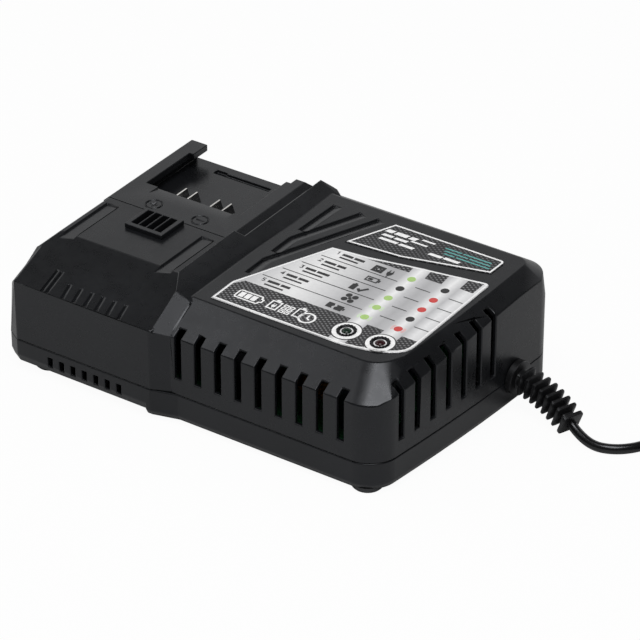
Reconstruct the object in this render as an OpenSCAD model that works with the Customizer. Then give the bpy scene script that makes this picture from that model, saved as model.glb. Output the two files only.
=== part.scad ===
// Battery charger for slide-on tool packs: a two-part housing with a docking
// bay on the left, a sloped status panel on the right, and the mains lead.
// Origin: centre of the footprint, on the surface the feet stand on.
// +X to the lead side, +Y to the side the pack slides in from, +Z up.

/* [Housing] */
// Overall length, dock side to lead side
body_w = 229; // [200:1:275]
// Overall depth
body_d = 150.6; // [126:0.1:181]
// Wall thickness of both housing halves
wall = 2.4; // [1.6:0.1:3.2]
// Height of the parting line above the table
split_z = 17.2; // [14:0.1:21]
// Height of the panel's top face at its front edge
top_front_z = 61; // [56:0.5:74]
// Rise of the panel per millimetre of depth
top_slope = 0.055; // [0.02:0.005:0.08]
// Height of the fold between front wall and front slope
fold_z = 48.8; // [42:0.1:52]
// Height the vented front wall stands back from the dock front
front_step = 3.8; // [2:0.1:6]
// Radius of the front corner at the lead side
front_corner_r = 16; // [10:1:20]
// Radius of the rear corner at the lead side
rear_corner_r = 15; // [6:1:18]

/* [Dock] */
// Width of the docking bay, outer wall to valley
dock_w = 84.8; // [74:0.1:100]
// Height of the dock deck at its front edge
deck_front_z = 59.5; // [55:0.5:64]
// Rise of the deck per millimetre of depth
deck_slope = 0.043; // [0.02:0.001:0.06]
// Depth from the dock front to the seam of the bay
seam_in = 80.3; // [70:0.1:92]
// Clear width between the rail lips
bay_w = 59.3; // [50:0.1:64]
// Depth of the bay floor below the deck
bay_depth = 9.4; // [8.6:0.1:12]
// Thickness of the rail lips
lip_t = 3.6; // [2.5:0.1:4]
// Width of the groove under each lip
groove_w = 4.3; // [3:0.1:5]
// Thickness of a terminal blade
blade_t = 0.8; // [0.5:0.1:1.2]

/* [Vents] */
// Pitch of the side vents
vent_pitch = 12; // [10:0.5:13]
// Width of a side vent
vent_w = 4; // [3:0.1:5]
// Number of vents in the front wall
front_vents = 9; // [6:1:9]
// Number of vents in the lead side wall
side_vents = 7; // [4:1:8]
// Height of the vents' lower ends
vent_z = 26; // [23:0.5:32]

/* [Fan] */
// Side of the square fan frame
fan_w = 40; // [33:1:44]
// Thickness of the fan frame
fan_t = 10; // [8:0.5:12]

/* [Board] */
// Main board thickness
board_t = 1.6; // [1:0.1:2.4]
// Height of the standoffs under the main board
standoff_h = 5.6; // [4:0.1:8]

/* [Lead] */
// Diameter of the mains lead
cord_d = 5; // [4:0.1:6]
// Diameter of the ribs on the strain relief
relief_d = 14.4; // [12:0.1:15]
// Foot height
foot_h = 2; // [1:0.1:4]
// Foot diameter
foot_d = 15.4; // [10:0.1:18]

/* [Hidden] */
$fn = 48;
eps = 0.01;
fit = 0.15;          // gap between parts that are fitted together

// Housing planes
x_l = -body_w / 2;
x_r = body_w / 2;
y_f = -body_d / 2;
y_b = body_d / 2;
y_v = y_f + front_step;
base_z = foot_h;
floor_z = base_z + wall;
facet_x = 7.6;       // chamfer of the dock's front corner
facet_y = 4.4;
edge_in = 3;         // rounding of the base's lower edge
dock_edge = 6.5;     // and of the same edge on the dock side
bow_r = 1170;        // the lead side wall bows very slightly outwards
bow_y = y_b - 21.8;
side_fold_rise = 0.1;
rear_fold_z = 60.8;
top_rear_in = 11;    // width of the rear chamfer
top_front_in = 20.5; // width of the front slope
top_side_in = 9;     // width of the lead side chamfer

// Dock planes
x_valley = x_l + dock_w;
x_flank = x_valley - 5.8;
x_ridge = x_valley + 5.6;
x_ridge_front = x_valley - 1.2;
x_soft = x_valley + 15.9;
ridge_slope = 0.2;
y_seam = y_f + seam_in;
y_deck = y_f + 40.8;
fascia_z = 50;
x_jog0 = x_valley + 6.4;
x_jog1 = x_valley + 16.5;
x_bay = x_l + 41;    // centre of the bay
bay_front = 21.8;    // seam to the bay's front wall, along the deck
insert_t = 2.4;      // thickness of the bay floor

function top_z(y) = top_front_z + top_slope * (y - y_v - top_front_in);
function deck_z(y) = deck_front_z + deck_slope * (y - y_deck);
function bow_x(y) = x_r - pow(y - bow_y, 2) / (2 * bow_r);
function side_fold_z(y) = min(rear_fold_z, fold_z + 2.4 + side_fold_rise * (y - y_v - 14));
function arc(c, r, a, b, n) = [for (k = [0 : n]) let (t = a + (b - a) * k / n) c + r * [cos(t), sin(t)]];

y_fc = y_v + front_corner_r;
y_rc = y_b - rear_corner_r;
x_fc = bow_x(y_fc) - front_corner_r;
x_rc = bow_x(y_rc) - rear_corner_r;
bow_ys = [for (k = [1 : 6]) y_fc + (y_rc - y_fc) * k / 7];

// Outline of the panel side, drawn in by i
function side_outline(i) = concat(
  arc([x_fc, y_fc], front_corner_r - i, -90, 0, 16),
  [for (y = bow_ys) [bow_x(y) - i, y]],
  arc([x_rc, y_rc], rear_corner_r - i, 0, 90, 16));

// Outline of the dock side, drawn in by i
facet_l = sqrt(facet_x * facet_x + facet_y * facet_y);
function dock_outline(i) = [
  [x_l + i, y_f + facet_y + i * (facet_l - facet_y) / facet_x],
  [x_l + facet_x + i * (facet_l - facet_x) / facet_y, y_f + i],
  [x_jog0 + 0.2 * i, y_f + i],
  [x_jog1 + 0.2 * i, y_v + i],
  [x_jog1 + 4, y_v + i],
  [x_jog1 + 4, y_b - i],
  [x_l + i + 3, y_b - i],
  [x_l + i, y_b - i - 3]
];

// A loose set of corner points, for a hull
module cloud(points) {
  n = len(points);
  polyhedron(points, [for (k = [0 : n - 1]) [k, (k + 1) % n, (k + 2) % n]]);
}

// Frames that lie in the deck plane and in the panel plane
module on_deck() {
  translate([0, y_seam, deck_z(y_seam)]) rotate([atan(deck_slope), 0, 0]) children();
}
module on_top() {
  translate([0, 0, top_z(0)]) rotate([atan(top_slope), 0, 0]) children();
}

module box_at(x0, x1, y0, y1, z0, z1) {
  translate([x0, y0, z0]) cube([x1 - x0, y1 - y0, z1 - z0]);
}

// ---- Housing ----

function panel_outline(i) = concat(
  arc([x_fc - 7, y_v + top_front_in + 14 - 1.5], 14, -90, -25, 14),
  [for (y = bow_ys) [bow_x(y) - top_side_in - 0.4 * i, y]],
  arc([bow_x(y_rc) - top_side_in - 6, y_b - top_rear_in - 6], 6, 0, 90, 10));

module panel_block(i, z0) {
  x_in = x_valley + 8 - 0.43 * i;
  hull() {
    translate([0, 0, z0]) linear_extrude(fold_z - z0 - 0.35 * i)
      polygon(concat(side_outline(i), [[x_in, y_b - i], [x_in, y_v + i]]));
    cloud([for (p = side_outline(i)) if (p[1] > y_fc - 6 && p[1] < y_rc + 1)
      [p[0], p[1], side_fold_z(p[1]) - 0.5 * i]]);
    cloud([for (p = arc([x_rc - 0.8, y_rc], rear_corner_r - i - 0.8, 10, 90, 14))
      [p[0], p[1], rear_fold_z - 0.5 * i]]);
    cloud([for (p = panel_outline(i)) [p[0], p[1], top_z(p[1]) - i]]);
    cloud([for (x = [x_soft - 0.5, x_fc - 10]) [x, y_v + top_front_in, top_z(y_v + top_front_in) - i]]);
    cloud([[x_soft - 0.5, y_b - top_rear_in, top_z(y_b - top_rear_in) - i]]);
    cloud([[x_in, y_b - i, rear_fold_z - i], [x_in, y_b - top_rear_in, 64 - i]]);
    cloud([[x_in, y_v + top_front_in, 57 - i]]);
  }
}

// Side view of the dock: fascia, then deck
module dock_profile(i) {
  polygon([
    [y_f - 1, 0], [y_f - 1, fascia_z - 0.24 - i], [y_f, fascia_z - i],
    [y_deck, deck_z(y_deck) - i], [y_b + 1, deck_z(y_b + 1) - i], [y_b + 1, 0]
  ]);
}

module dock_block(i, z0) {
  intersection() {
    translate([x_l - 1, 0, 0]) rotate([90, 0, 90])
      linear_extrude(x_valley + 8.7 - x_l) dock_profile(i);
    translate([0, 0, z0]) linear_extrude(80) polygon(dock_outline(i));
    // outer top edge, chamfered along the deck and the fascia
    on_deck() rotate([90, 0, 0]) linear_extrude(400, center = true) polygon([
      [x_l + i, -90], [x_l + i, -4.2 - 0.6 * i], [x_l + 4.4 + 0.6 * i, -i],
      [x_l + 4.4 + 0.6 * i, 40], [x_valley + 20, 40], [x_valley + 20, -90]
    ]);
  }
}

// Wedges that blunt the dock's front corner above the facet, and lean the facet back
module corner_cut() {
  hull() cloud([
    [x_l + 7, y_f - 0.2, 49.9], [x_l + 3.1, y_f + 27.4, 56.9], [x_l - 0.1, y_f + 6.8, 44.5],
    [x_l - 0.1, y_f + 27.4, 54.6], [x_l - 6, y_f - 6, 30.9], [x_l - 2, y_f + 27.4, 64], [x_l + 7, y_f - 2, 64]
  ]);
  hull() cloud([
    [x_l, y_f + facet_y, split_z - 0.5], [x_l + 0.03, y_f + 7, 45], [x_l + 7.5, y_f, 50.4],
    [x_l - 6, y_f - 6, split_z - 0.5], [x_l - 6, y_f - 6, 50], [x_l - 6, y_f + 7, 45]
  ]);
}

function ridge_z(x, y) = top_z(y) + ridge_slope * (x_soft - x);

// The ridge between dock and panel, and the facet that runs down its front
facet_top = [[x_soft - 9, y_v + 18, ridge_z(x_soft - 9, y_v + 18) + 0.34],
  [x_soft + 0.8, y_v + 16.9, top_z(y_v + 16.9) - 1.25]];
jog_in = [x_jog0, y_f] + 0.1 * [x_jog1 - x_jog0, y_v - y_f];
module ridge() {
  hull() cloud([
    [x_ridge_front, y_v + 30.5, ridge_z(x_ridge_front, y_v + 30.5)],
    facet_top[0], facet_top[1],
    [x_ridge_front, y_b - 6, ridge_z(x_ridge_front, y_b - 6)],
    [x_ridge_front, y_b - eps, 58.5],
    [x_soft - 7, y_b - 6.1, ridge_z(x_soft - 7, y_b - 6.1)],
    [x_soft - 0.5, y_b - 5.4, ridge_z(x_soft - 0.5, y_b - 5.4) - 0.5],
    [x_soft + 4.8, y_b - 9.2, top_z(y_b - 9.2) - 0.9],
    [x_soft, y_b - top_rear_in, top_z(y_b - top_rear_in)],
    [x_soft - 1.5, y_b - eps, 58.5],
    [x_ridge_front, y_v + 30.5, 44], [x_soft - 9, y_v + 18, 44], [x_soft, y_v + 16, 44],
    [x_ridge_front, y_b - eps, 44], [x_soft - 1.5, y_b - eps, 44]
  ]);
  hull() cloud([
    facet_top[0], facet_top[1],
    [jog_in[0], jog_in[1], fascia_z - 0.9], [x_jog1, y_v, fold_z - 0.1],
    [jog_in[0], jog_in[1], split_z], [x_jog1, y_v, split_z],
    [x_soft + 1, y_v + 18, split_z], [x_soft - 9, y_v + 18, split_z]
  ]);
}

// One front vent, centred on x = 0, as seen from the side
module front_vent() {
  translate([-vent_w / 2, 0, 0]) rotate([90, 0, 90]) linear_extrude(vent_w) polygon([
    [y_v - 6, vent_z], [y_v + 7, vent_z], [y_v + 7, fold_z - 3],
    [y_v + 7.6, fold_z - 1], [y_v + 4.2, fold_z + 4.6], [y_v - 6, fold_z + 4.6]
  ]);
}
front_vent_x = x_jog1 + 4.4;

// One vent of the lead side wall, centred on y = 0
module side_vent(y) {
  x = bow_x(y);
  z = side_fold_z(y);
  translate([0, y + vent_w / 2, 0]) rotate([90, 0, 0]) linear_extrude(vent_w) polygon([
    [x + 8, vent_z - 0.5], [x - 7, vent_z - 0.5], [x - 7, z - 3.5],
    [x - 8, z - 1], [x - 4.6, z + 4.6], [x + 8, z + 4.6]
  ]);
}
side_vent_y = y_v + 18.7;

// Screw posts that join the halves
case_posts = [[x_l + 34, y_f + 13.5], [x_r - 16, y_f + 27], [x_r - 30.5, y_b - 8.8]];
bay_posts = [[x_l + 34, y_b - 9.3], [x_l + 74.5, y_b - 9.3]];
all_posts = concat(case_posts, bay_posts);
post_d = 8;
pilot_d = 2.6;
screw_d = 3.4;

// Bent marks pressed into the fascia
module fascia_marks() {
  pitch = 7;
  for (k = [0 : 6]) {
    x = k == 0 ? x_l + 26 : x_l + 37.2 + pitch * (k - 1);
    len = k == 0 ? 16 : 10;
    for (dx = k == 0 ? [-1.5, 1.5] : [0])
      translate([x + dx, y_f + 0.6, fascia_z + 0.1]) rotate([atan(0.239), 0, k == 0 ? 8 : 13])
        translate([0, len, 0]) rotate([90, 0, 0]) linear_extrude(len)
          polygon([[-0.8, -0.9], [-0.3, -0.9], [0.9, 0.05], [0.9, 1.1], [-0.8, 1.1]]);
  }
}

// A groove with one upright side that runs out to the surface on the other
module run_out_groove(p, q, w) {
  v = q - p;
  translate([p[0], p[1], 0]) rotate([0, 0, atan2(v[1], v[0])]) rotate([90, 0, 90])
    linear_extrude(norm(v)) polygon([[0, -1.2], [0, 1], [-w, 1], [-w, 0]]);
}
gx = x_soft + 6.9;
module panel_grooves() {
  on_top() {
    run_out_groove([gx - 0.5, 27], [gx + 0.7, 55.5], 5);
    run_out_groove([gx, 3.4], [gx, 18.9], 5);
    run_out_groove([gx - 0.2, 18.4], [gx + 16.2, 56.4], 5);
    run_out_groove([gx + 0.6, -19.4], [gx + 0.6, -4.2], 5);
    run_out_groove([gx + 0.4, -4.6], [gx + 27.1, 56.4], 5);
  }
}

// Places of the two indicator lamps, in the panel plane
led_y = -36.6;
led_green_x = x_r - 48.1;
led_red_x = x_r - 28.7;
led_d = 8;

// Centre and seat of the grille and of the fan under it
x_grille = x_bay + 0.1;
grille_w = 23.4;
grille_l = 18.6;
grille_h = 2.4;
y_grille = -0.8 - grille_l / 2;
fan_x = x_grille;
fan_y = y_seam - 21.5;
fan_top = deck_z(fan_y - fan_w / 2) - wall - 1.6;
fan_hole = fan_w / 2 - 4;

// Lead inlet through the parting line
relief_y = y_b - 36.8;
relief_z = split_z;
relief_neck = 6;
relief_x = bow_x(relief_y);

module inlet_hole() {
  translate([relief_x - 12, relief_y, relief_z]) rotate([0, 90, 0])
    cylinder(r = relief_neck + fit, h = 24);
}

module upper_housing() {
  color("#333436") difference() {
    union() {
      difference() {
        union() {
          panel_block(0, split_z);
          difference() {
            dock_block(0, split_z);
            corner_cut();
          }
          ridge();
        }
        panel_block(wall + 0.013, split_z - 1);
        dock_block(wall, split_z - 1);
        // well for the bay insert
        on_deck() rotate([90, 0, 0]) translate([0, 0, -body_d]) linear_extrude(body_d) polygon([
          [x_l - 1, 40], [x_l - 1, -bay_depth - insert_t], [x_valley + fit, -bay_depth - insert_t],
          [x_valley + fit, -1.6], [x_ridge, 5.6], [x_ridge, 40]
        ]);
      }
      // posts for the case screws
      intersection() {
        for (p = case_posts) translate([p[0], p[1], split_z]) cylinder(d = post_d, h = 60);
        union() {
          panel_block(1, split_z);
          dock_block(1, split_z);
        }
      }
      // bosses the fan hangs from
      for (sx = [-1, 1], sy = [-1, 1])
        translate([fan_x + sx * fan_hole, fan_y + sy * fan_hole, fan_top])
          cylinder(d = 6, h = deck_z(fan_y + sy * fan_hole) - fan_top - 1);
      // posts for the lamp board
      on_top() for (x = [led_green_x - 9, led_red_x + 9]) translate([x, led_y, -9.2])
        cylinder(d = 5, h = 9.2 - wall + 0.6);
    }
    for (p = case_posts) translate([p[0], p[1], split_z - 1]) cylinder(d = pilot_d, h = 19);
    for (sx = [-1, 1], sy = [-1, 1])
      translate([fan_x + sx * fan_hole, fan_y + sy * fan_hole, fan_top - 1]) cylinder(d = 1.8, h = 3.6);
    for (k = [0 : front_vents - 1]) translate([front_vent_x + k * vent_pitch, 0, 0]) front_vent();
    for (k = [0 : side_vents - 1]) side_vent(side_vent_y + k * vent_pitch);
    // runners in the deck, deepest along their outer side, open at the front
    on_deck() for (s = [-1, 1]) translate([x_bay + s * 30.2 - 3.7, -5.5, 0]) rotate([90, 0, 0])
      linear_extrude(42) polygon([[0, -0.95], [7.4, -0.4], [7.4, 4], [0, 4]]);
    on_deck() box_at(x_grille - grille_w / 2 + 1, x_grille + grille_w / 2 - 1,
      y_grille - grille_l / 2 + 1, y_grille + grille_l / 2 - 1, -8, 8);
    fascia_marks();
    panel_grooves();
    on_top() for (x = [led_green_x, led_red_x]) translate([x, led_y, -5]) cylinder(d = led_d + 0.6, h = 10);
    on_top() for (x = [led_green_x - 9, led_red_x + 9]) translate([x, led_y, -10])
      cylinder(d = 1.6, h = 4.6);
    inlet_hole();
  }
}

function dock_base(i) = [for (k = [0, 1, 2]) dock_outline(i)[k], [x_jog0 + 0.2 * i, y_b - i],
  dock_outline(i)[6], dock_outline(i)[7]];
function jog_base(i) = [[x_jog0 - 3, y_f + i], [x_jog0, y_f + i], [x_jog1, y_v + i], [x_jog1 + 4, y_v + i],
  [x_jog1 + 4, y_b - i], [x_jog0 - 3, y_b - i]];

// Plan of everything inside the wall, drawn in by i
module inner_plan(i) {
  polygon(concat(side_outline(i), [[x_jog1 + 1, y_b - i], [x_jog1 + 1, y_v + i]]));
  polygon(dock_outline(i));
}

module lower_housing() {
  color("#2c2d2f") difference() {
    union() {
      difference() {
        union() {
          hull() {
            translate([0, 0, base_z + edge_in]) linear_extrude(split_z - base_z - edge_in - 0.2)
              polygon(concat(side_outline(0), [[x_jog1 + 3, y_b], [x_jog1 + 3, y_v]]));
            translate([0, 0, base_z]) linear_extrude(1)
              polygon(concat(side_outline(1.6), [[x_jog1 + 3, y_b - 1.6], [x_jog1 + 3, y_v + 1.6]]));
          }
          hull() {
            translate([0, 0, base_z + dock_edge]) linear_extrude(split_z - base_z - dock_edge - 0.2)
              polygon(dock_base(0));
            translate([0, 0, base_z + 0.4 * dock_edge]) linear_extrude(1) polygon(dock_base(1.3));
            translate([0, 0, base_z]) linear_extrude(1) polygon(dock_base(4.8));
          }
          hull() {
            translate([0, 0, base_z + edge_in]) linear_extrude(split_z - base_z - edge_in - 0.2)
              polygon(jog_base(0));
            translate([0, 0, base_z]) linear_extrude(1) polygon(jog_base(1.6));
          }
        }
        translate([0, 0, floor_z]) linear_extrude(3) inner_plan(wall + 1.6);
        translate([0, 0, floor_z + 2]) linear_extrude(40) inner_plan(wall);
      }
      // tongue that stands up inside the upper half
      difference() {
        translate([0, 0, split_z - 6]) linear_extrude(9) inner_plan(wall + 0.2);
        translate([0, 0, split_z - 7]) linear_extrude(11) inner_plan(wall + 1.4);
        translate([relief_x - 12, relief_y, relief_z]) rotate([0, 90, 0])
          cylinder(r = relief_neck + 3.2, h = 24);
        box_at(x_jog0 - 3, x_jog1 + 3, y_f, y_v + 8, base_z, split_z + 6);
      }
      translate([0, 0, split_z - 7]) linear_extrude(6.8) difference() {
        inner_plan(wall - 0.2);
        inner_plan(wall + 0.4);
      }
      for (p = all_posts) translate([p[0], p[1], base_z]) cylinder(d = post_d, h = split_z - base_z - 0.2);
      for (p = board_posts) translate([p[0], p[1], base_z])
        cylinder(d = 6.4, h = floor_z - base_z + standoff_h);
      // saddle under the lead
      translate([clamp_x, relief_y, base_z + 1])
        box_at(-4, 4, -12, 12, 0, relief_z - cord_d / 2 - base_z - 0.8);
      // rib behind the strain relief's flange
      box_at(relief_x - wall - 6.4, relief_x - wall - 4.8, relief_y - 10, relief_y + 10,
        base_z + 1, split_z - 0.2);
    }
    for (p = all_posts) {
      translate([p[0], p[1], base_z - 1]) cylinder(d = screw_d, h = 30);
      translate([p[0], p[1], base_z - 1]) cylinder(d = 6.8, h = 6);
    }
    for (p = board_posts) translate([p[0], p[1], floor_z - 0.6]) cylinder(d = pilot_d, h = 20);
    for (s = [-1, 1]) translate([clamp_x, relief_y + s * 8.5, floor_z + 2]) cylinder(d = 2.2, h = 20);
    for (p = foot_places) translate([p[0], p[1], base_z - 1]) cylinder(d = foot_d + 0.2, h = 1.8);
    // small vents under the fascia
    for (k = [0 : 6]) translate([x_l + 26.9 + 7.2 * k, 0, 0])
      box_at(0, 3, y_f - 2, y_f + 6, base_z + 5.6, base_z + 11);
    // louvres in the floor below the fan
    for (k = [-3 : 3]) translate([fan_x, fan_y + 5 * k, base_z - 1])
      box_at(-15, 15, -1.25, 1.25, 0, wall + 2);
    inlet_hole();
    translate([clamp_x - 12, relief_y, relief_z]) rotate([0, 90, 0]) cylinder(d = cord_d + 0.2, h = 24);
  }
}

foot_places = [
  [x_l + 18, y_f + 12.9], [x_l + 18, y_b - 12.9],
  [x_r - 17.5, y_f + 13], [x_r - 17.5, y_b - 12.3]
];
module rubber_feet() {
  color("#3a3a3a") for (p = foot_places) translate([p[0], p[1], 0]) {
    translate([0, 0, 0.8]) cylinder(d = foot_d, h = foot_h + 0.8 - 0.8);
    cylinder(d1 = foot_d - 1.6, d2 = foot_d, h = 0.8);
  }
}

module case_screws() {
  color("silver") for (p = all_posts) translate([p[0], p[1], base_z + 2]) {
    cylinder(d = 6, h = 3);
    cylinder(d = pilot_d, h = 28);
  }
}

// ---- Dock ----

bay_l = (y_b - y_seam) / cos(atan(deck_slope));
blade_xs = [x_bay - 11.3, x_bay - 4.5, x_bay + 9.9, x_bay + 17.3];
blade_top = -2.2;
blade_root = 15;

// Side view of a blade, grown by c all round
module blade_shape(c) {
  polygon([
    [blade_root - c, blade_top + c], [bay_front + 9.6 + c, blade_top + c],
    [bay_front + 11.8 + c, -bay_depth + 0.3 - c], [blade_root + 4 + c, -bay_depth + 0.3 - c],
    [blade_root + 4 + c, -bay_depth - insert_t - 2.6], [blade_root - c, -bay_depth - insert_t - 2.6]
  ]);
}
module blade(x) {
  color("#c9c5bb") on_deck() translate([x - blade_t / 2, 0, 0]) rotate([90, 0, 90])
    linear_extrude(blade_t) blade_shape(0);
}

module dock_insert() {
  color("#3a3b3d") difference() {
    union() {
      intersection() {
        on_deck() box_at(x_l - 1, x_valley, fit, bay_l + 3, -bay_depth - insert_t, 0);
        translate([0, 0, 20]) linear_extrude(60) polygon(dock_outline(0));
        on_deck() rotate([90, 0, 0]) linear_extrude(400, center = true) polygon([
          [x_l, -30], [x_l, -3.4], [x_l + 3.8, 0], [x_flank, 0],
          [x_valley, -1.7], [x_valley, -30]
        ]);
      }
      // posts for the case screws
      for (p = bay_posts) translate([p[0], p[1], split_z])
        cylinder(d = post_d, h = deck_z(p[1]) - bay_depth - insert_t + 0.6 - split_z);
    }
    for (p = bay_posts) translate([p[0], p[1], split_z - 1]) cylinder(d = pilot_d, h = 19);
    on_deck() {
      // hollow under the front of the insert
      box_at(x_l + wall, x_valley - wall, wall, blade_root - 4, -bay_depth - insert_t - 1, -wall);
      // the bay, and the grooves under its lips
      difference() {
        box_at(x_bay - bay_w / 2, x_bay + bay_w / 2, bay_front, bay_l + 6, -bay_depth, 5);
        // nose at the mouth of the left lip
        box_at(x_bay - bay_w / 2 - 1, x_bay - bay_w / 2 + 2.5, bay_l - 12, bay_l + 8, -5, 6);
      }
      // the right lip stops short of the back wall
      box_at(x_bay + bay_w / 2 - 1, x_bay + bay_w / 2 + 2.8, bay_l - 8.6, bay_l + 6, -lip_t - 1, 5);
      translate([x_bay + bay_w / 2 - 1, 0, 0]) rotate([90, 0, 90]) linear_extrude(80)
        polygon([
          [bay_l - 3.8, 0.01], [bay_l - 3.8, 8], [bay_l + 8, 8], [bay_l + 8, -6.4], [bay_l - 0.1, -6.4]
        ]);
      box_at(x_bay - bay_w / 2 - groove_w, x_bay + bay_w / 2 + groove_w, bay_front + 2, bay_l + 6,
        -bay_depth, -lip_t);
      // ramp in front of the bay
      translate([x_bay - 22, 0, 0]) rotate([90, 0, 90]) linear_extrude(48)
        polygon([[bay_front - 7.5, 0.01], [bay_front + 1, -1.1], [bay_front + 1, 2]]);
      // slots that hold the blades
      for (x = blade_xs) translate([x - blade_t / 2 - 0.05, 0, 0]) rotate([90, 0, 90])
        linear_extrude(blade_t + 0.1) blade_shape(0.05);
      // catch slot and finger pocket in the bay floor
      box_at(x_bay - 11.5, x_bay + 18, bay_l - 9, bay_l - 6, -bay_depth - 1.6, -bay_depth + 1);
      box_at(x_bay - 17, x_bay - 10.5, bay_l - 9, bay_l - 5.2, -bay_depth - 1.6, -bay_depth + 1);
      // polarity marks
      for (m = [-1, 1]) translate([x_bay + 1.5 + m * 14.6, 6.6, -0.4]) difference() {
        cylinder(d = 9.2, h = 2);
        translate([0, 0, -1]) cylinder(d = 7.8, h = 4);
      }
      translate([x_bay + 1.5 - 14.6, 6.6, 0.2]) cube([4.4, 0.8, 1.2], center = true);
      translate([x_bay + 1.5 - 14.6, 6.6, 0.2]) cube([0.8, 4.4, 1.2], center = true);
      translate([x_bay + 1.5 + 14.6, 6.6, 0.2]) cube([4.4, 0.8, 1.2], center = true);
      for (x = terminal_xs) translate([x, terminal_y, -bay_depth - insert_t - 1]) cylinder(d = 1.6, h = 6);
    }
  }
}

terminal_xs = [x_bay - 20, x_bay + 25];
terminal_y = 17;
module terminal_board() {
  color("#1f6b3a") on_deck() difference() {
    translate([x_bay, 0, -bay_depth - insert_t - 2.6 - board_t]) box_at(-24, 29, 11, 24, 0, board_t);
    for (x = terminal_xs) translate([x, terminal_y, -30]) cylinder(d = 2.2, h = 30);
  }
}
module terminal_screws() {
  color("silver") on_deck() for (x = terminal_xs)
    translate([x, terminal_y, -bay_depth - insert_t - 2.6 - board_t]) {
      translate([0, 0, -1.6]) cylinder(d = 4, h = 1.6);
      cylinder(d = 1.6, h = 4.2 + 2.6);
      translate([0, 0, board_t]) cylinder(d = 3.6, h = 2.6);
    }
}

module vent_grille() {
  color("#303133") on_deck() difference() {
    union() {
      box_at(x_grille - grille_w / 2, x_grille + grille_w / 2,
        y_grille - grille_l / 2, y_grille + grille_l / 2, 0, grille_h);
      box_at(x_grille - grille_w / 2 + 1 + fit, x_grille + grille_w / 2 - 1 - fit,
        y_grille - grille_l / 2 + 1 + fit, y_grille + grille_l / 2 - 1 - fit, -wall - 0.6, 0.5);
    }
    for (k = [0 : 3]) box_at(x_grille - 9.4 + 4.85 * k, x_grille - 5.55 + 4.85 * k,
      y_grille - grille_l / 2 + 2.6, y_grille + grille_l / 2 - 1.8, -9, 9);
    translate([0, y_grille - grille_l / 2, grille_h]) rotate([45, 0, 0]) cube([60, 1.2, 1.2], center = true);
  }
}

// ---- Panel ----

label_t = 0.4;
lx = x_soft + 7.6;
module status_label() {
  color("silver") on_top() difference() {
    linear_extrude(label_t) polygon(concat(
      [[lx, -47.4], [lx, -30], [lx + 23.2, 21.8], [lx + 43.2, 23.9], [lx + 65, 28.2]],
      arc([x_r - 15.7, 32.2], 2.6, 82, 0, 5),
      [[x_r - 13.1, -29], [x_r - 13.3, -32.6], [x_r - 14.5, -35.8], [x_r - 16.9, -38.5],
       [x_r - 20.5, -41], [x_r - 25, -43.1], [x_r - 30.5, -44.9], [x_r - 37, -46.4], [x_r - 43.5, -47.4]]));
    for (x = [led_green_x, led_red_x]) translate([x, led_y, -1]) cylinder(d = led_d + 1.4, h = 3);
  }
}
module name_label() {
  color("#2a2a2c") on_top() linear_extrude(label_t) polygon(concat(
    [[lx + 25.1, 29.7], [lx + 37.2, 56.6]], arc([x_r - 20.5, 54.1], 2.4, 90, 0, 3),
    [[x_r - 18.4, 43.4], [lx + 56.5, 32]]));
}

module led(x, c) {
  color(c) on_top() translate([x, led_y, 0]) {
    translate([0, 0, -8.2]) cylinder(d = led_d, h = 4.61);
    intersection() {
      translate([0, 0, -3.6]) sphere(d = led_d);
      translate([0, 0, -3.6]) cylinder(d = led_d, h = 5);
    }
    translate([0, 0, -9.2]) cylinder(d = led_d + 0.9, h = 1.01);
  }
}
module led_board() {
  color("#1f6b3a") on_top() difference() {
    box_at(led_green_x - 13, led_red_x + 12.4, led_y - 6.5, led_y + 6.5, -9.2 - board_t, -9.2);
    for (x = [led_green_x - 9, led_red_x + 9]) translate([x, led_y, -14]) cylinder(d = 1.9, h = 9);
  }
}
module led_screws() {
  color("silver") on_top() for (x = [led_green_x - 9, led_red_x + 9]) translate([x, led_y, -9.2 - board_t]) {
    cylinder(d = 1.6, h = board_t + 3.6);
    translate([0, 0, -1.4]) cylinder(d = 3.6, h = 1.4);
  }
}

// ---- Main board and what stands on it ----

board_x0 = x_valley + 2;
board_x1 = x_r - 27;
board_y0 = y_v + 9;
board_y1 = y_b - 14.5;
board_z = floor_z + standoff_h;
board_top = board_z + board_t;
board_posts = [[board_x0 + 5, board_y0 + 5], [board_x1 - 5, board_y0 + 5],
  [board_x0 + 5, board_y1 - 5], [board_x1 - 5, board_y1 - 5]];

module main_board() {
  color("#1f6b3a") difference() {
    box_at(board_x0, board_x1, board_y0, board_y1, board_z, board_top);
    for (p = board_posts) translate([p[0], p[1], board_z - 1]) cylinder(d = 3.2, h = 5);
  }
}
module board_screws() {
  color("silver") for (p = board_posts) translate([p[0], p[1], board_top]) {
    translate([0, 0, -board_t - 4]) cylinder(d = pilot_d, h = 4 + board_t);
    cylinder(d = 5.2, h = 2);
  }
}

module inlet_terminal() {
  color("#2f7d46") difference() {
    box_at(board_x1 - 13, board_x1 - 1, relief_y - 6, relief_y + 6, board_top, board_top + 11);
    translate([board_x1 - 6, relief_y, relief_z]) rotate([0, 90, 0]) cylinder(d = cord_d + 0.2, h = 10);
  }
}
module inlet_lead() {
  color("#1b1b1b") translate([board_x1 - 6, relief_y, relief_z]) rotate([0, 90, 0])
    cylinder(d = cord_d, h = relief_x - wall - 4.4 - board_x1 + 6);
}
clamp_x = board_x1 + 9;
module cord_clamp() {
  color("#444") difference() {
    translate([clamp_x, relief_y, relief_z]) box_at(-3.5, 3.5, -12, 12, 0.2 - cord_d / 2, 6);
    translate([clamp_x - 12, relief_y, relief_z]) rotate([0, 90, 0]) cylinder(d = cord_d + 0.2, h = 24);
    for (s = [-1, 1]) translate([clamp_x, relief_y + s * 8.5, relief_z - 6]) cylinder(d = 2.8, h = 20);
  }
}
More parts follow.
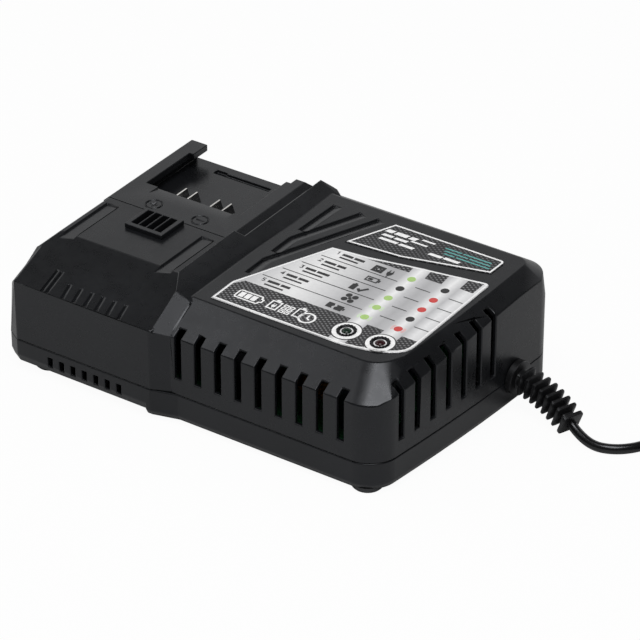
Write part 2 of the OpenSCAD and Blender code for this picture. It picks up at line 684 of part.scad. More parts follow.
module clamp_screws() {
  color("silver") for (s = [-1, 1]) translate([clamp_x, relief_y + s * 8.5, relief_z + 6]) {
    cylinder(d = 5, h = 2);
    translate([0, 0, -14]) cylinder(d = 2.2, h = 14);
  }
}
module fuse() {
  translate([board_x1 - 28, y_b - 24, board_top + 4.2]) {
    color("#dfe7ea") rotate([0, 90, 0]) cylinder(d = 5, h = 20);
    for (x = [0, 15]) color("#c9c5bb") rotate([0, 90, 0]) translate([0, 0, x]) cylinder(d = 5.8, h = 5);
    for (x = [1.5, 16.5]) color("#c9c5bb") translate([x, -1.5, -4.2]) cube([2, 3, 4]);
  }
}
module filter_choke() {
  translate([board_x1 - 28, relief_y - 2, board_top + 12]) rotate([90, 0, 0]) {
    color("#9a5b2a") rotate_extrude() translate([8, 0]) square([8, 9], center = true);
  }
}
module filter_capacitor() {
  color("#d3a52a") translate([board_x1 - 50, relief_y, board_top]) box_at(0, 7, -9, 9, 0, 15);
}
module bulk_capacitors() {
  for (k = [0, 1]) translate([board_x1 - 14, board_y0 + 29 + 24 * k, board_top]) {
    color("#22384f") cylinder(d = 22, h = 30);
  }
}
tx = board_x1 - 48;
ty = (board_y0 + board_y1) / 2 - 12;
module transformer_winding() {
  color("#c98a3a") translate([tx, ty, board_top]) difference() {
    union() {
      translate([0, 0, 2]) cylinder(d = 26, h = 22);
      box_at(-14, 14, -14, 14, 0, 2.6);
      box_at(-14, 14, -14, 14, 23.4, 26);
    }
    translate([0, 0, -1]) cylinder(d = 12.4, h = 40);
  }
}
module transformer_core() {
  color("#3c3c40") translate([tx, ty, board_top]) difference() {
    union() {
      box_at(-19, 19, -8, 8, 26.2, 32);
      box_at(-19, -14.4, -8, 8, 0.2, 27);
      box_at(14.4, 19, -8, 8, 0.2, 27);
      translate([0, 0, 1]) cylinder(d = 12, h = 27);
    }
  }
}
hs_t = 3;
module fin_plate(l, h) {
  cube([hs_t, l, h]);
  for (k = [0 : 4]) translate([-6, k * (l - 1.6) / 4, 0]) cube([6.5, 1.6, h]);
}
hs1_x = tx - 20;
hs2_x = board_x0 + 12;
module heatsink_primary() {
  color("#b9bcc0") translate([hs1_x, board_y0 + 6, board_top]) fin_plate(28, 32);
}
module heatsink_secondary() {
  color("#b9bcc0") translate([hs2_x, ty - 17, board_top]) fin_plate(44, 34);
}
module flat_pack(c) {
  color(c) union() {
    cube([4.4, 10, 15]);
    translate([1.4, 1.6, -7]) cube([0.8, 1.2, 8]);
    translate([1.4, 4.4, -7]) cube([0.8, 1.2, 8]);
    translate([1.4, 7.2, -7]) cube([0.8, 1.2, 8]);
  }
}
module switch_transistor() {
  translate([hs1_x + hs_t, board_y0 + 8, board_top + 7]) flat_pack("#1d1d1f");
}
module rectifier() {
  translate([hs1_x + hs_t, board_y0 + 21, board_top + 7]) flat_pack("#26262a");
}
module output_diode() {
  translate([hs2_x + hs_t, ty - 5, board_top + 7]) flat_pack("#1d1d1f");
}
module output_capacitors() {
  for (k = [0 : 2]) color("#22384f")
    translate([board_x0 + 22 + 13 * k, board_y1 - 12, board_top]) cylinder(d = 10, h = 20);
}
module controller_chip() {
  color("#18181a") translate([board_x0 + 20, board_y0 + 12, board_top]) {
    translate([0, 0, 1]) cube([18, 8, 3.6]);
    for (k = [0 : 6]) translate([1.2 + 2.5 * k, -0.8, 0]) cube([0.8, 9.6, 2]);
  }
}

// ---- Fan ----

fan_z = fan_top - fan_t;
fan_r = fan_w / 2 - 1.4;
hub_r = 9.5;
pin_d = 2;
module fan_frame() {
  color("#202022") translate([fan_x, fan_y, fan_z]) difference() {
    union() {
      difference() {
        box_at(-fan_w / 2, fan_w / 2, -fan_w / 2, fan_w / 2, 0, fan_t);
        translate([0, 0, -1]) cylinder(r = fan_r, h = fan_t + 2);
      }
      cylinder(r = hub_r, h = 1.6);
      for (a = [30 : 90 : 300]) rotate([0, 0, a]) box_at(0, fan_r + 0.8, -1, 1, 0, 1.6);
      cylinder(d = pin_d, h = fan_t - 2.4);
    }
    for (sx = [-1, 1], sy = [-1, 1]) translate([sx * fan_hole, sy * fan_hole, -1])
      cylinder(d = 2.6, h = fan_t + 2);
  }
}
module fan_rotor() {
  color("#2a2a2d") translate([fan_x, fan_y, fan_z]) difference() {
    union() {
      translate([0, 0, 2]) cylinder(r = hub_r, h = fan_t - 3);
      for (k = [0 : 6]) rotate([0, 0, k * 360 / 7]) translate([hub_r - 1, 0, fan_t / 2 + 0.5])
        rotate([38, 0, 0]) translate([0, -4.3, -0.5]) cube([fan_r - hub_r - 0.2, 8.6, 1]);
    }
    translate([0, 0, 1]) cylinder(d = pin_d + 0.1, h = fan_t - 3);
  }
}
module fan_screws() {
  color("silver") for (sx = [-1, 1], sy = [-1, 1])
    translate([fan_x + sx * fan_hole, fan_y + sy * fan_hole, fan_z]) {
      translate([0, 0, -1.4]) cylinder(d = 4.4, h = 1.4);
      cylinder(d = 1.8, h = fan_t + 2.4);
    }
}

// ---- Mains lead ----

function lerp(a, b, t) = a + (b - a) * t;
// The lead's points are stated for an inlet at [114.404, 38.5] and move with it
module with_inlet() {
  translate([relief_x - 114.404, relief_y - 38.5, 0]) children();
}
// Middle line of the strain relief: out of the wall, then drooping to the table
relief_p = [[114.3, 38.5, relief_z], [131, 38.5, relief_z], [152.2, 30.8, 7.2]];
function relief_at(t) = lerp(lerp(relief_p[0], relief_p[1], t), lerp(relief_p[1], relief_p[2], t), t);
function relief_dir(t) =
  let (v = lerp(relief_p[1] - relief_p[0], relief_p[2] - relief_p[1], t)) v / norm(v);
relief_ribs = 9;
relief_step = 0.94 / relief_ribs;
// where each rib's sleeve, face, face and sleeve lie along the middle line
rib_ts = [0.42, 0.5, 0.94, 1.02];
relief_ts = concat([for (k = [0 : relief_ribs - 1], w = rib_ts) (k + w) * relief_step], [1]);
module strain_relief() {
  color("#1c1c1d") {
    // flange inside the wall, neck through it and collar outside
    translate([relief_x - wall - 4.4, relief_y, relief_z]) rotate([0, 90, 0]) {
      cylinder(r = relief_neck + 2.6, h = 3.6);
      cylinder(r = relief_neck, h = wall + 5);
      translate([0, 0, wall + 4.6]) cylinder(r = relief_neck + 3, h = 3.4);
    }
    // ribbed sleeve, thinner towards its end
    with_inlet() sweep([for (t = relief_ts) relief_at(t)], [for (t = relief_ts) relief_dir(t)],
      [for (k = [0 : len(relief_ts) - 1]) k % 4 == 1 || k % 4 == 2 ? relief_d : 11 - 2.2 * relief_ts[k]],
      20);
  }
}

// Middle line of the lead from the strain relief to the coil
cord_route = [
  [152.2, 30.8, 7.2], [156.4, 29.3, 5.3], [160.8, 27.9, 3.9], [165.4, 27.0, 2.9],
  [170.0, 26.9, 2.5], [174.6, 28.0, 2.5], [178.8, 30.3, 2.5], [182.5, 33.6, 2.5],
  [185.6, 37.6, 2.5], [188.0, 42.2, 2.5], [189.6, 47.2, 2.5], [190.4, 52.5, 2.5],
  [190.5, 58.0, 2.5]
];
coil_c = [228, 58];
coil_r = 37.5;       // outermost of four turns, in two layers
// Middle line from the coil to the plug
tail_route = [
  [268, 58, 7.5], [268, 50, 7.5], [268, 42, 7.4], [268, 34, 7.1], [268, 27, 7], [268, 22, 7]
];

function dir(p, k) = let (a = p[max(k - 1, 0)], b = p[min(k + 1, len(p) - 1)]) (b - a) / norm(b - a);
function side(v) = cross(v, [0, 0, 1]) / norm(cross(v, [0, 0, 1]));
// A closed tube: rings of n corners and diameter d[k], at p[k], facing v[k]
module sweep(p, v, d, n) {
  rings = len(p);
  pts = [for (k = [0 : rings - 1]) let (s = side(v[k]), u = cross(s, v[k]))
    for (j = [0 : n - 1]) p[k] + d[k] / 2 * (cos(360 * j / n) * s + sin(360 * j / n) * u)];
  faces = concat(
    [[for (j = [n - 1 : -1 : 0]) j]],
    [for (k = [0 : rings - 2], j = [0 : n - 1]) let (m = (j + 1) % n)
      [k * n + j, (k + 1) * n + m, (k + 1) * n + j]],
    [for (k = [0 : rings - 2], j = [0 : n - 1]) let (m = (j + 1) % n)
      [k * n + j, k * n + m, (k + 1) * n + m]],
    [[for (j = [0 : n - 1]) (rings - 1) * n + j]]);
  polyhedron(pts, faces);
}
module tube(p, d) {
  sweep(p, [for (k = [0 : len(p) - 1]) dir(p, k)], [for (q = p) d], 10);
}
module mains_cord() {
  color("#151516") with_inlet() tube(cord_route, cord_d);
}
module cord_tail() {
  color("#151516") with_inlet() tube(tail_route, cord_d);
}
module cord_coil() {
  color("#151516") with_inlet() translate([coil_c[0], coil_c[1], 0]) rotate_extrude() polygon([
    [coil_r - 20, 1], [coil_r - 19, 0], [coil_r + 4, 0], [coil_r + 5, 1],
    [coil_r + 5, 9], [coil_r + 4, 10], [coil_r - 19, 10], [coil_r - 20, 9]]);
}
// Strip folded over the coil
module coil_tie() {
  color("#1b1b1b") with_inlet() translate([coil_c[0], coil_c[1], 0]) rotate([0, 0, 60]) difference() {
    box_at(coil_r - 21.6, coil_r + 6, -4, 4, 0.2, 11);
    box_at(coil_r - 20.6, coil_r + 5, -5, 5, -1, 10);
  }
}

plug_z = 7;
module plug_body() {
  color("#171718") with_inlet() translate([268, 22, plug_z]) rotate([90, 0, 0]) {
    cylinder(d1 = 7.4, d2 = 9, h = 10);
    translate([0, 0, 9]) hull() {
      linear_extrude(1) square([13, 11], center = true);
      translate([0, 0, 12]) linear_extrude(16) square([30, 13.6], center = true);
      translate([0, 0, 12]) linear_extrude(16) square([34, 9], center = true);
    }
  }
}
module plug_pins() {
  color("#c9c5bb") with_inlet() for (s = [-1, 1]) translate([268 + s * 9.3, -15, plug_z]) rotate([90, 0, 0])
    cylinder(d = 4, h = 19);
}

lower_housing();
upper_housing();
dock_insert();
vent_grille();
blade(blade_xs[0]);  // blade_plus
blade(blade_xs[1]);  // blade_temp
blade(blade_xs[2]);  // blade_data
blade(blade_xs[3]);  // blade_minus
terminal_board();
terminal_screws();
status_label();
name_label();
led(led_green_x, "#2e4a30");  // led_green
led(led_red_x, "#4a2626");  // led_red
led_board();
led_screws();
main_board();
board_screws();
inlet_terminal();
inlet_lead();
cord_clamp();
clamp_screws();
fuse();
filter_choke();
filter_capacitor();
rectifier();
bulk_capacitors();
transformer_core();
transformer_winding();
heatsink_primary();
heatsink_secondary();
switch_transistor();
output_diode();
output_capacitors();
controller_chip();
fan_frame();
fan_rotor();
fan_screws();
case_screws();
rubber_feet();
strain_relief();
mains_cord();
cord_coil();
coil_tie();
cord_tail();
plug_body();
plug_pins();
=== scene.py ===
import bmesh
import bpy
import numpy as np
from mathutils import Matrix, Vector
from mathutils.bvhtree import BVHTree


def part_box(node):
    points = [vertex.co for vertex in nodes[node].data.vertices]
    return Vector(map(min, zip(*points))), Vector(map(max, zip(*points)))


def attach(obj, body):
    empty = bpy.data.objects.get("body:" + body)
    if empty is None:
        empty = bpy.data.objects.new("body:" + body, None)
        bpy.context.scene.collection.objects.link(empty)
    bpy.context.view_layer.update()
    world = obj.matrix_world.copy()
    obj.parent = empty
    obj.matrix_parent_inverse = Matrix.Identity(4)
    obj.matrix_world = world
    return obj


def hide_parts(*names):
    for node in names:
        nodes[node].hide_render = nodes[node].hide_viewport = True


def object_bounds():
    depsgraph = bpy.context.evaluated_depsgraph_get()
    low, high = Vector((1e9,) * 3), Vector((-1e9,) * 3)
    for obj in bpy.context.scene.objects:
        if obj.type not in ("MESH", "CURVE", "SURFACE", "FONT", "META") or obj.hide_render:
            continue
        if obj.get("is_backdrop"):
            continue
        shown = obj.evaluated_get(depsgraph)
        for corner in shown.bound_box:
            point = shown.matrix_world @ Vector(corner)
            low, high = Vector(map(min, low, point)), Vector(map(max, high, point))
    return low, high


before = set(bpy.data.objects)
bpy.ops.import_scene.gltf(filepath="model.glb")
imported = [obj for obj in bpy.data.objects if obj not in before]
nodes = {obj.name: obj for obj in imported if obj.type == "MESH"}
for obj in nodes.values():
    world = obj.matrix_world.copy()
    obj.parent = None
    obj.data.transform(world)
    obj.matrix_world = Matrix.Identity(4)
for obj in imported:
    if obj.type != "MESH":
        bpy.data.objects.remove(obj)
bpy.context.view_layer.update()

mm = 0.001
weld = 1e-6  # points of a piece that are closer than this are one
print("frame loaded:", len(nodes), "nodes")



# Places an object that looks along minus back, with its X along right: up is back x right.
def aimed(thing, right, back, place):
    axes = [right, np.cross(back, right), back, place]
    thing.matrix_world = Matrix([[axis[row] for axis in axes] for row in range(3)] + [[0, 0, 0, 1]])


# Camera: it looks down at the object from the front and right.
eye = {
    "aim": (0.01805, 0.00952, 0.03),
    "distance": 1.78797,
    "azimuth": 35.466,  # degrees round from straight in front
    "elevation": 30.2424,
    "lens": 202.87,
    "sensor": 36,
    "farthest": 50,
}
azimuth, elevation = np.radians([eye["azimuth"], eye["elevation"]])
right = np.array([np.cos(azimuth), np.sin(azimuth), 0])
back = np.array([0, 0, np.sin(elevation)]) + np.cos(elevation) * np.cross(right, [0, 0, 1])
cameraData = bpy.data.cameras.new("camera")
cameraData.lens = eye["lens"]
cameraData.sensor_width = eye["sensor"]
cameraData.clip_end = eye["farthest"]
camera = bpy.data.objects.new("camera", cameraData)
bpy.context.scene.collection.objects.link(camera)
aimed(camera, right, back, eye["aim"] + eye["distance"] * back)
bpy.context.scene.camera = camera
bpy.context.scene.view_settings.view_transform = "Standard"
print("camera placed")


# Quads of a grid of points, row after row; wrap joins the last column to the first.
def gridFaces(rows, cols, wrap=False):
    r, c = np.meshgrid(np.arange(rows - 1), np.arange(cols - (0 if wrap else 1)), indexing="ij")
    d = (c + 1) % cols
    return np.stack([r * cols + c, r * cols + d, (r + 1) * cols + d, (r + 1) * cols + c], -1).reshape(-1, 4)


# A mesh object from arrays of points and faces, riding on the charger. A shell is a closed
# piece: its doubles are merged and its faces turned outwards. Edges over smooth degrees stay sharp.
def addPiece(name, points, faces, material, slot, smooth=None, shell=True):
    mesh = bpy.data.meshes.new(name)
    mesh.from_pydata(np.asarray(points, float).tolist(), [], [list(map(int, f)) for f in faces])
    if shell:
        bm = bmesh.new()
        bm.from_mesh(mesh)
        bmesh.ops.remove_doubles(bm, verts=bm.verts, dist=weld)
        bmesh.ops.recalc_face_normals(bm, faces=bm.faces)
        bm.to_mesh(mesh)
        bm.free()
    mesh.materials.append(material)
    if smooth is not None:
        mesh.shade_smooth()
        mesh.set_sharp_from_angle(angle=np.radians(smooth))
    piece = bpy.data.objects.new(name, mesh)
    bpy.context.scene.collection.objects.link(piece)
    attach(piece, "charger")
    return piece


# A tube of changing radius: at each point of a line, a ring of corners square to the line.
# Squareness 2 gives circles; more gives superellipses whose diagonals keep the radius.
def tubeAlong(line, radii, sides, squareness=2.0):
    line = np.asarray(line, float)
    radii = np.broadcast_to(np.asarray(radii, float), len(line))
    ahead = np.gradient(line, axis=0)
    ahead /= np.linalg.norm(ahead, axis=1)[:, None]
    across = np.cross(ahead, [0, 0, 1.0])
    across /= np.linalg.norm(across, axis=1)[:, None]
    lift = np.cross(across, ahead)
    turn = np.linspace(0, 2 * np.pi, sides, endpoint=False)[:, None]
    n = np.broadcast_to(np.asarray(squareness, float), len(line))[:, None, None]
    reach = (np.abs(np.cos(turn)) ** n + np.abs(np.sin(turn)) ** n) ** (-1 / n) * 2 ** (1 / n - 0.5)
    rings = line[:, None] + radii[:, None, None] * reach * (
        np.cos(turn) * across[:, None] + np.sin(turn) * lift[:, None])
    points = np.concatenate([rings.reshape(-1, 3), line[:1], line[-1:]])
    first, last, k = len(points) - 2, len(points) - 1, np.arange(sides)
    end = (len(line) - 1) * sides
    faces = list(gridFaces(len(line), sides, wrap=True))
    faces += list(np.stack([np.roll(k, -1), k, np.full(sides, first)], -1))
    faces += list(np.stack([end + k, end + np.roll(k, -1), np.full(sides, last)], -1))
    return points, faces


# A smooth line through the given points (Catmull-Rom spline), cut into even steps.
def smoothLine(points, step):
    between = 12  # points worked out for each given one
    p = np.asarray(points, float)
    p = np.concatenate([2 * p[:1] - p[1:2], p, 2 * p[-1:] - p[-2:-1]])
    t = np.linspace(0, 1, between, endpoint=False)[None, :, None]
    a, b, c, d = (p[k:len(p) - 3 + k, None] for k in range(4))
    line = 0.5 * (2 * b + (c - a) * t + (2 * a - 5 * b + 4 * c - d) * t**2
                  + (3 * b - a - 3 * c + d) * t**3)
    line = np.concatenate([line.reshape(-1, 3), p[-2:-1]])
    return evenSteps(line, step)


# The same line with its points an even distance apart, found by the length run so far.
def evenSteps(line, step):
    run = np.concatenate([[0], np.cumsum(np.linalg.norm(np.diff(line, axis=0), axis=1))])
    at = np.linspace(0, run[-1], max(2, int(round(run[-1] / step)) + 1))
    return np.stack([np.interp(at, run, line[:, k]) for k in range(3)], -1)


# A node tree; make() adds a node, its settings and its input values or links.
class Graph:
    def __init__(self, tree):
        self.tree = tree

    def make(self, kind, inputs=None, **settings):
        node = self.tree.nodes.new(kind)
        for key, value in settings.items():
            setattr(node, key, value)
        for key, value in (inputs or {}).items():
            self.feed(node.inputs[key], value)
        return node

    # A value, a socket or a node's first output goes into a socket.
    def feed(self, socket, value):
        if isinstance(value, bpy.types.NodeSocket):
            self.tree.links.new(value, socket)
        elif isinstance(value, bpy.types.Node):
            self.tree.links.new(value.outputs[0], socket)
        else:
            socket.default_value = value

    # One step of arithmetic on numbers or sockets.
    def math(self, operation, *values):
        return self.make("ShaderNodeMath", dict(enumerate(values)), operation=operation).outputs[0]

    # The range from low to high as the range to, clamped at its ends.
    def spread(self, value, low, high, to=(0.0, 1.0), curve="LINEAR"):
        return self.make("ShaderNodeMapRange", {
            "Value": value, "From Min": low, "From Max": high, "To Min": to[0], "To Max": to[1]},
            interpolation_type=curve).outputs[0]

    # a + (b - a) * factor, of colours or of plain numbers.
    def mix(self, factor, a, b, kind="RGBA"):
        node = self.make("ShaderNodeMix", data_type=kind)
        self.feed(node.inputs["Factor"], factor)
        self.feed(node.inputs["A"], a)
        self.feed(node.inputs["B"], b)
        return node.outputs["Result"]

    # The parts of a place or a direction along X, Y and Z.
    def split(self, vector):
        return self.make("ShaderNodeSeparateXYZ", {"Vector": vector}).outputs


# A material: its node tree with a Principled shader, and the object's own coordinates.
class Finish(Graph):
    def __init__(self, name):
        self.material = bpy.data.materials.new(name)
        self.material.use_nodes = True
        super().__init__(self.material.node_tree)
        self.shader = self.tree.nodes["Principled BSDF"]
        self.place = self.make("ShaderNodeTexCoord").outputs["Object"]

    # Inputs of the shader by name, with _ where the name has a space.
    def set(self, **values):
        for key, value in values.items():
            self.feed(self.shader.inputs[key.replace("_", " ")], value)

    # Smooth noise from 0 to 1; scale is about how many lumps there are in a metre.
    def noise(self, scale, detail=2, rough=0.5, at=None):
        return self.make("ShaderNodeTexNoise", {
            "Vector": at or self.place, "Scale": scale, "Detail": detail, "Roughness": rough}).outputs["Fac"]

    # The shader's normal tilted as by a relief of height times depth in metres.
    def bump(self, height, strength, depth):
        node = self.make("ShaderNodeBump", {"Strength": strength, "Distance": depth, "Height": height})
        self.feed(self.shader.inputs["Normal"], node)
        return self


# A colour written as it is seen on a screen, as the linear value that a shader takes (sRGB curve).
def seen(code):
    c = np.array([int(code[k:k + 2], 16) for k in (1, 3, 5)]) / 255
    c = np.where(c < 0.04045, c / 12.92, ((c + 0.055) / 1.055) ** 2.4)
    return (*c.tolist(), 1.0)


# The same colour, darker or lighter: each channel times a share, up to 1.
def toned(colour, share, more=0.0):
    return tuple(min(1, c * share + more) for c in colour[:3]) + (1,)


# Moulded plastic or rubber: spark-eroded grain, faint cloudiness, a little dust and rub.
# Depth is the height of the grain in millimetres, rub how far the roughness varies.
def moulded(name, colour, rough, grain=1500, depth=0.03, rub=0.06, specular=0.5):
    f = Finish(name)
    cloud = f.noise(scale=28, detail=3)
    fine = f.noise(scale=grain, detail=3, rough=0.6)
    light = toned(colour, 1.35, 0.001)
    body = f.mix(f.spread(cloud, 0.3, 0.7), toned(colour, 0.75), light)
    body = f.mix(f.spread(fine, 0.45, 0.75, (0, 0.4)), body, light)
    wear = f.spread(f.noise(scale=140, detail=4, rough=0.7), 0.4, 0.7, (rough - rub, rough + rub))
    f.set(Base_Color=body, Roughness=wear, Specular_IOR_Level=specular, Specular_Tint=(0.93, 0.95, 1.0, 1.0))
    return f.bump(fine, 0.5, depth * mm).material


# Metal with drawn or ground streaks: a noise that is stretched along one axis.
def streaked(name, colour, rough, stretch=(60, 1800, 1800)):
    f = Finish(name)
    along = f.make("ShaderNodeMapping", {"Vector": f.place, "Scale": stretch}).outputs[0]
    line = f.noise(scale=1, detail=4, rough=0.6, at=along)
    smear = f.noise(scale=60, detail=3)
    tone = f.mix(f.spread(smear, 0.35, 0.7), toned(colour, 0.8), colour)
    f.set(Base_Color=tone, Metallic=1.0, Roughness=f.spread(line, 0.3, 0.7, (rough - 0.06, rough + 0.1)))
    return f.bump(line, 0.3, 0.01 * mm).material


# Printed ink: even colour with a slight mottle and a satin surface.
def ink(name, colour, rough=0.42):
    f = Finish(name)
    mottle = f.noise(scale=700)
    f.set(Base_Color=f.mix(f.spread(mottle, 0.35, 0.7), toned(colour, 0.88), colour), Roughness=rough)
    return f.bump(mottle, 0.1, 0.01 * mm).material


# Mains lead: cord and coil in millimetres, apart from the diameter and the exit.
lead = {
    "diameter": 0.005,
    "exit": (0.1522, 0.0308, 0.0072),
    "route": [
        (152.2, 30.8, 7.2), (156.4, 29.3, 5.3), (160.8, 27.9, 3.9), (165.4, 27.0, 2.9),
        (170.0, 26.9, 2.5), (174.6, 28.0, 2.5), (178.8, 30.3, 2.5), (182.5, 33.6, 2.5),
        (185.6, 37.6, 2.5), (188.0, 42.2, 2.5), (189.6, 47.2, 2.5), (190.4, 52.5, 2.5),
        (190.5, 58.0, 2.5)],
    "coilCentre": (228.0, 58.0),
    "outerTurn": 37.5,  # radius
    "innerTurn": 22.5,
    "turns": 7.5,
    "turnSteps": 72,
    "squeeze": 2.2,  # how much tighter the climbing turn is
    "tail": [(268, 58, 7.5), (268, 50, 7.5), (268, 42, 7.4), (268, 34, 7.1), (268, 27, 7.0), (268, 20, 7.0)],
    "hidden": 5,  # length inside the strain relief
    "sides": 18,
}
leadRubber = moulded("leadRubber", seen("#0f0f10"), 0.24, grain=420, depth=0.01, rub=0.03)
plugPlastic = moulded("plugPlastic", seen("#161617"), 0.38, grain=900, depth=0.02)
bootRubber = moulded("bootRubber", seen("#0e0e0f"), 0.4, grain=800, depth=0.015, rub=0.04)


# The coil: three turns winding in on the table, one turn that climbs inside them, then
# three and a half turns winding out on top. Radius falls or grows one diameter a turn, and
# the climbing turn rises by a smooth step while a half sine draws it in.
def coilLine(c):
    t = np.arange(0, c["turns"], 1 / c["turnSteps"])
    pitch = c["diameter"] / mm
    below = round((c["outerTurn"] - c["innerTurn"]) / pitch)
    u = np.clip(t - below, 0, 1)
    rise = u * u * (3 - 2 * u)
    inwards, outwards = c["outerTurn"] - pitch * t, c["innerTurn"] + pitch * np.maximum(t - below - 1, 0)
    radius = np.where(t < below, inwards, outwards) - c["squeeze"] * np.sin(np.pi * u)
    angle = np.pi - 2 * np.pi * t
    x, y = c["coilCentre"]
    return np.stack([x + radius * np.cos(angle), y + radius * np.sin(angle), pitch * (0.5 + rise)], -1)


leadLine = np.concatenate([
    smoothLine(lead["route"], step=1.5)[:-1], coilLine(lead), smoothLine(lead["tail"], step=2)])
outward = leadLine[1] - leadLine[0]
inside = leadLine[0] - lead["hidden"] * outward / np.linalg.norm(outward)
leadLine = np.concatenate([[inside], leadLine]) * mm
leadCord = addPiece("leadCord", *tubeAlong(leadLine, lead["diameter"] / 2, lead["sides"]),
                    leadRubber, "lead_rubber", smooth=50)
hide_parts("mains_cord", "cord_coil", "cord_tail")

plug = {
    "centre": (268.0, 7.0),  # X and Z of its middle line
    # distance along Y, half width, half height, squareness
    "sections": [
        (22.0, 3.1, 3.1, 2.0), (21.8, 3.7, 3.7, 2.0), (19.4, 3.8, 3.8, 2.0), (19.2, 3.2, 3.2, 2.0),
        (18.4, 3.2, 3.2, 2.0), (18.2, 4.0, 4.0, 2.0), (16.0, 4.1, 4.1, 2.0), (15.8, 3.4, 3.4, 2.0),
        (15.0, 3.4, 3.4, 2.0), (14.8, 4.3, 4.3, 2.0), (12.6, 4.5, 4.4, 2.0), (11.5, 5.2, 4.6, 2.2),
        (8.5, 8.2, 5.3, 2.6), (5.0, 11.4, 6.0, 3.0), (1.0, 14.8, 6.5, 3.4), (-3.0, 16.5, 6.7, 3.8),
        (-7.0, 17.0, 6.75, 4.0), (-10.4, 17.0, 6.75, 4.0), (-10.7, 16.6, 6.4, 4.0),
        (-11.1, 16.6, 6.4, 4.0), (-11.4, 17.0, 6.75, 4.0), (-14.3, 17.0, 6.75, 4.0),
        (-14.8, 16.7, 6.5, 4.0), (-15.0, 16.1, 5.9, 4.0)],
    "sides": 64,
}


# Superellipses of changing width, height and squareness, strung along Y: the sides of each are
# half its width times cos^(2/n) and half its height times sin^(2/n), signs kept.
def plugSurface(c):
    y, a, b, n = np.array(c["sections"]).T[:, :, None]
    t = np.linspace(0, 2 * np.pi, c["sides"], endpoint=False)[None]
    x = c["centre"][0] + a * np.sign(np.cos(t)) * np.abs(np.cos(t)) ** (2 / n)
    z = c["centre"][1] + b * np.sign(np.sin(t)) * np.abs(np.sin(t)) ** (2 / n)
    rings = np.stack([x, np.broadcast_to(y, x.shape), z], -1)
    ends = [rings[0].mean(0), rings[-1].mean(0)]
    points = np.concatenate([rings.reshape(-1, 3), ends]) * mm
    k, last = np.arange(c["sides"]), (len(rings) - 1) * c["sides"]
    faces = list(gridFaces(len(rings), c["sides"], wrap=True))
    faces += list(np.stack([k, np.roll(k, -1), np.full(len(k), len(points) - 2)], -1))
    faces += list(np.stack([last + k, last + np.roll(k, -1), np.full(len(k), len(points) - 1)], -1))
    return points, faces


plugShell = addPiece("plugShell", *plugSurface(plug), plugPlastic, "plug_plastic", smooth=35)
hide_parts("plug_body")

boot = {
    "line": [(114.3, 38.5, 17.2), (131.0, 38.5, 17.2), (152.2, 30.8, 7.2)],  # wall, bend and tip
    "start": 107.7,  # X of the end inside the wall
    # distance from the start and radius: flange, neck and collar
    "sleeve": [(0, 8.6), (3.9, 8.6), (3.95, 6.0), (6.9, 6.0), (6.95, 8.7), (7.2, 9.0), (10.0, 9.0),
               (10.35, 8.7), (10.7, 5.2)],
    "core": (4.9, 4.2),  # radius between the ribs, at the collar and at the tip
    "coreStart": 10,
    "ribs": 7,
    "firstRib": 11.9,
    "pitch": 4.5,
    "rib": [(1.25, 7.9), (1.35, 8.0), (2.35, 8.0), (2.45, 7.9)],  # distance from its start, radius
    "ribEnd": 3.7,
    "ribSink": 0.05,
    # distance back from the tip and radius of the end plate
    "endPlate": [(3.0, 4.2), (1.9, 7.7), (1.8, 7.8), (0.12, 7.8), (0.02, 7.7), (0, 7.6), (-0.001, 3.0)],
    "endGap": 0.02,  # how far its middle stands out
    "square": 9.0,  # squareness of the ribs
    "sides": 40,
    "curveSteps": 400,
}


# Strain relief: flange, neck and collar are round, the ribs are square plates with
# sloping flanks; all are strung along a line that runs straight and then as a quadratic curve.
def bootSurface(c):
    a, b, d = (np.array(p) for p in c["line"])
    t = np.linspace(0, 1, c["curveSteps"])[:, None]
    curve = (1 - t) ** 2 * a + 2 * t * (1 - t) * b + t**2 * d
    path = np.concatenate([[[c["start"], a[1], a[2]]], curve])
    run = np.concatenate([[0], np.cumsum(np.linalg.norm(np.diff(path, axis=0), axis=1))])
    long = run[-1]
    at = list(c["sleeve"])
    for k in range(c["ribs"]):
        s = c["firstRib"] + c["pitch"] * k
        core = np.interp(s, [c["coreStart"], long], c["core"])
        at += [(s, core)] + [(s + far, radius) for far, radius in c["rib"]]
        at += [(s + c["ribEnd"], core - c["ribSink"])]
    at += [(long - away, radius) for away, radius in c["endPlate"]]
    s, r = np.array(at).T
    line = np.stack([np.interp(s, run, path[:, k]) for k in range(3)], -1)
    beyond = path[-1] - path[-2]
    line[s > long] = path[-1] + c["endGap"] * beyond / np.linalg.norm(beyond)
    squareness = np.where(np.arange(len(r)) < len(c["sleeve"]), 2.0, c["square"])
    return tubeAlong(line * mm, r * mm, c["sides"], squareness)


bootPiece = addPiece("strainBoot", *bootSurface(boot), bootRubber, "boot_rubber", smooth=24)
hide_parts("strain_relief")

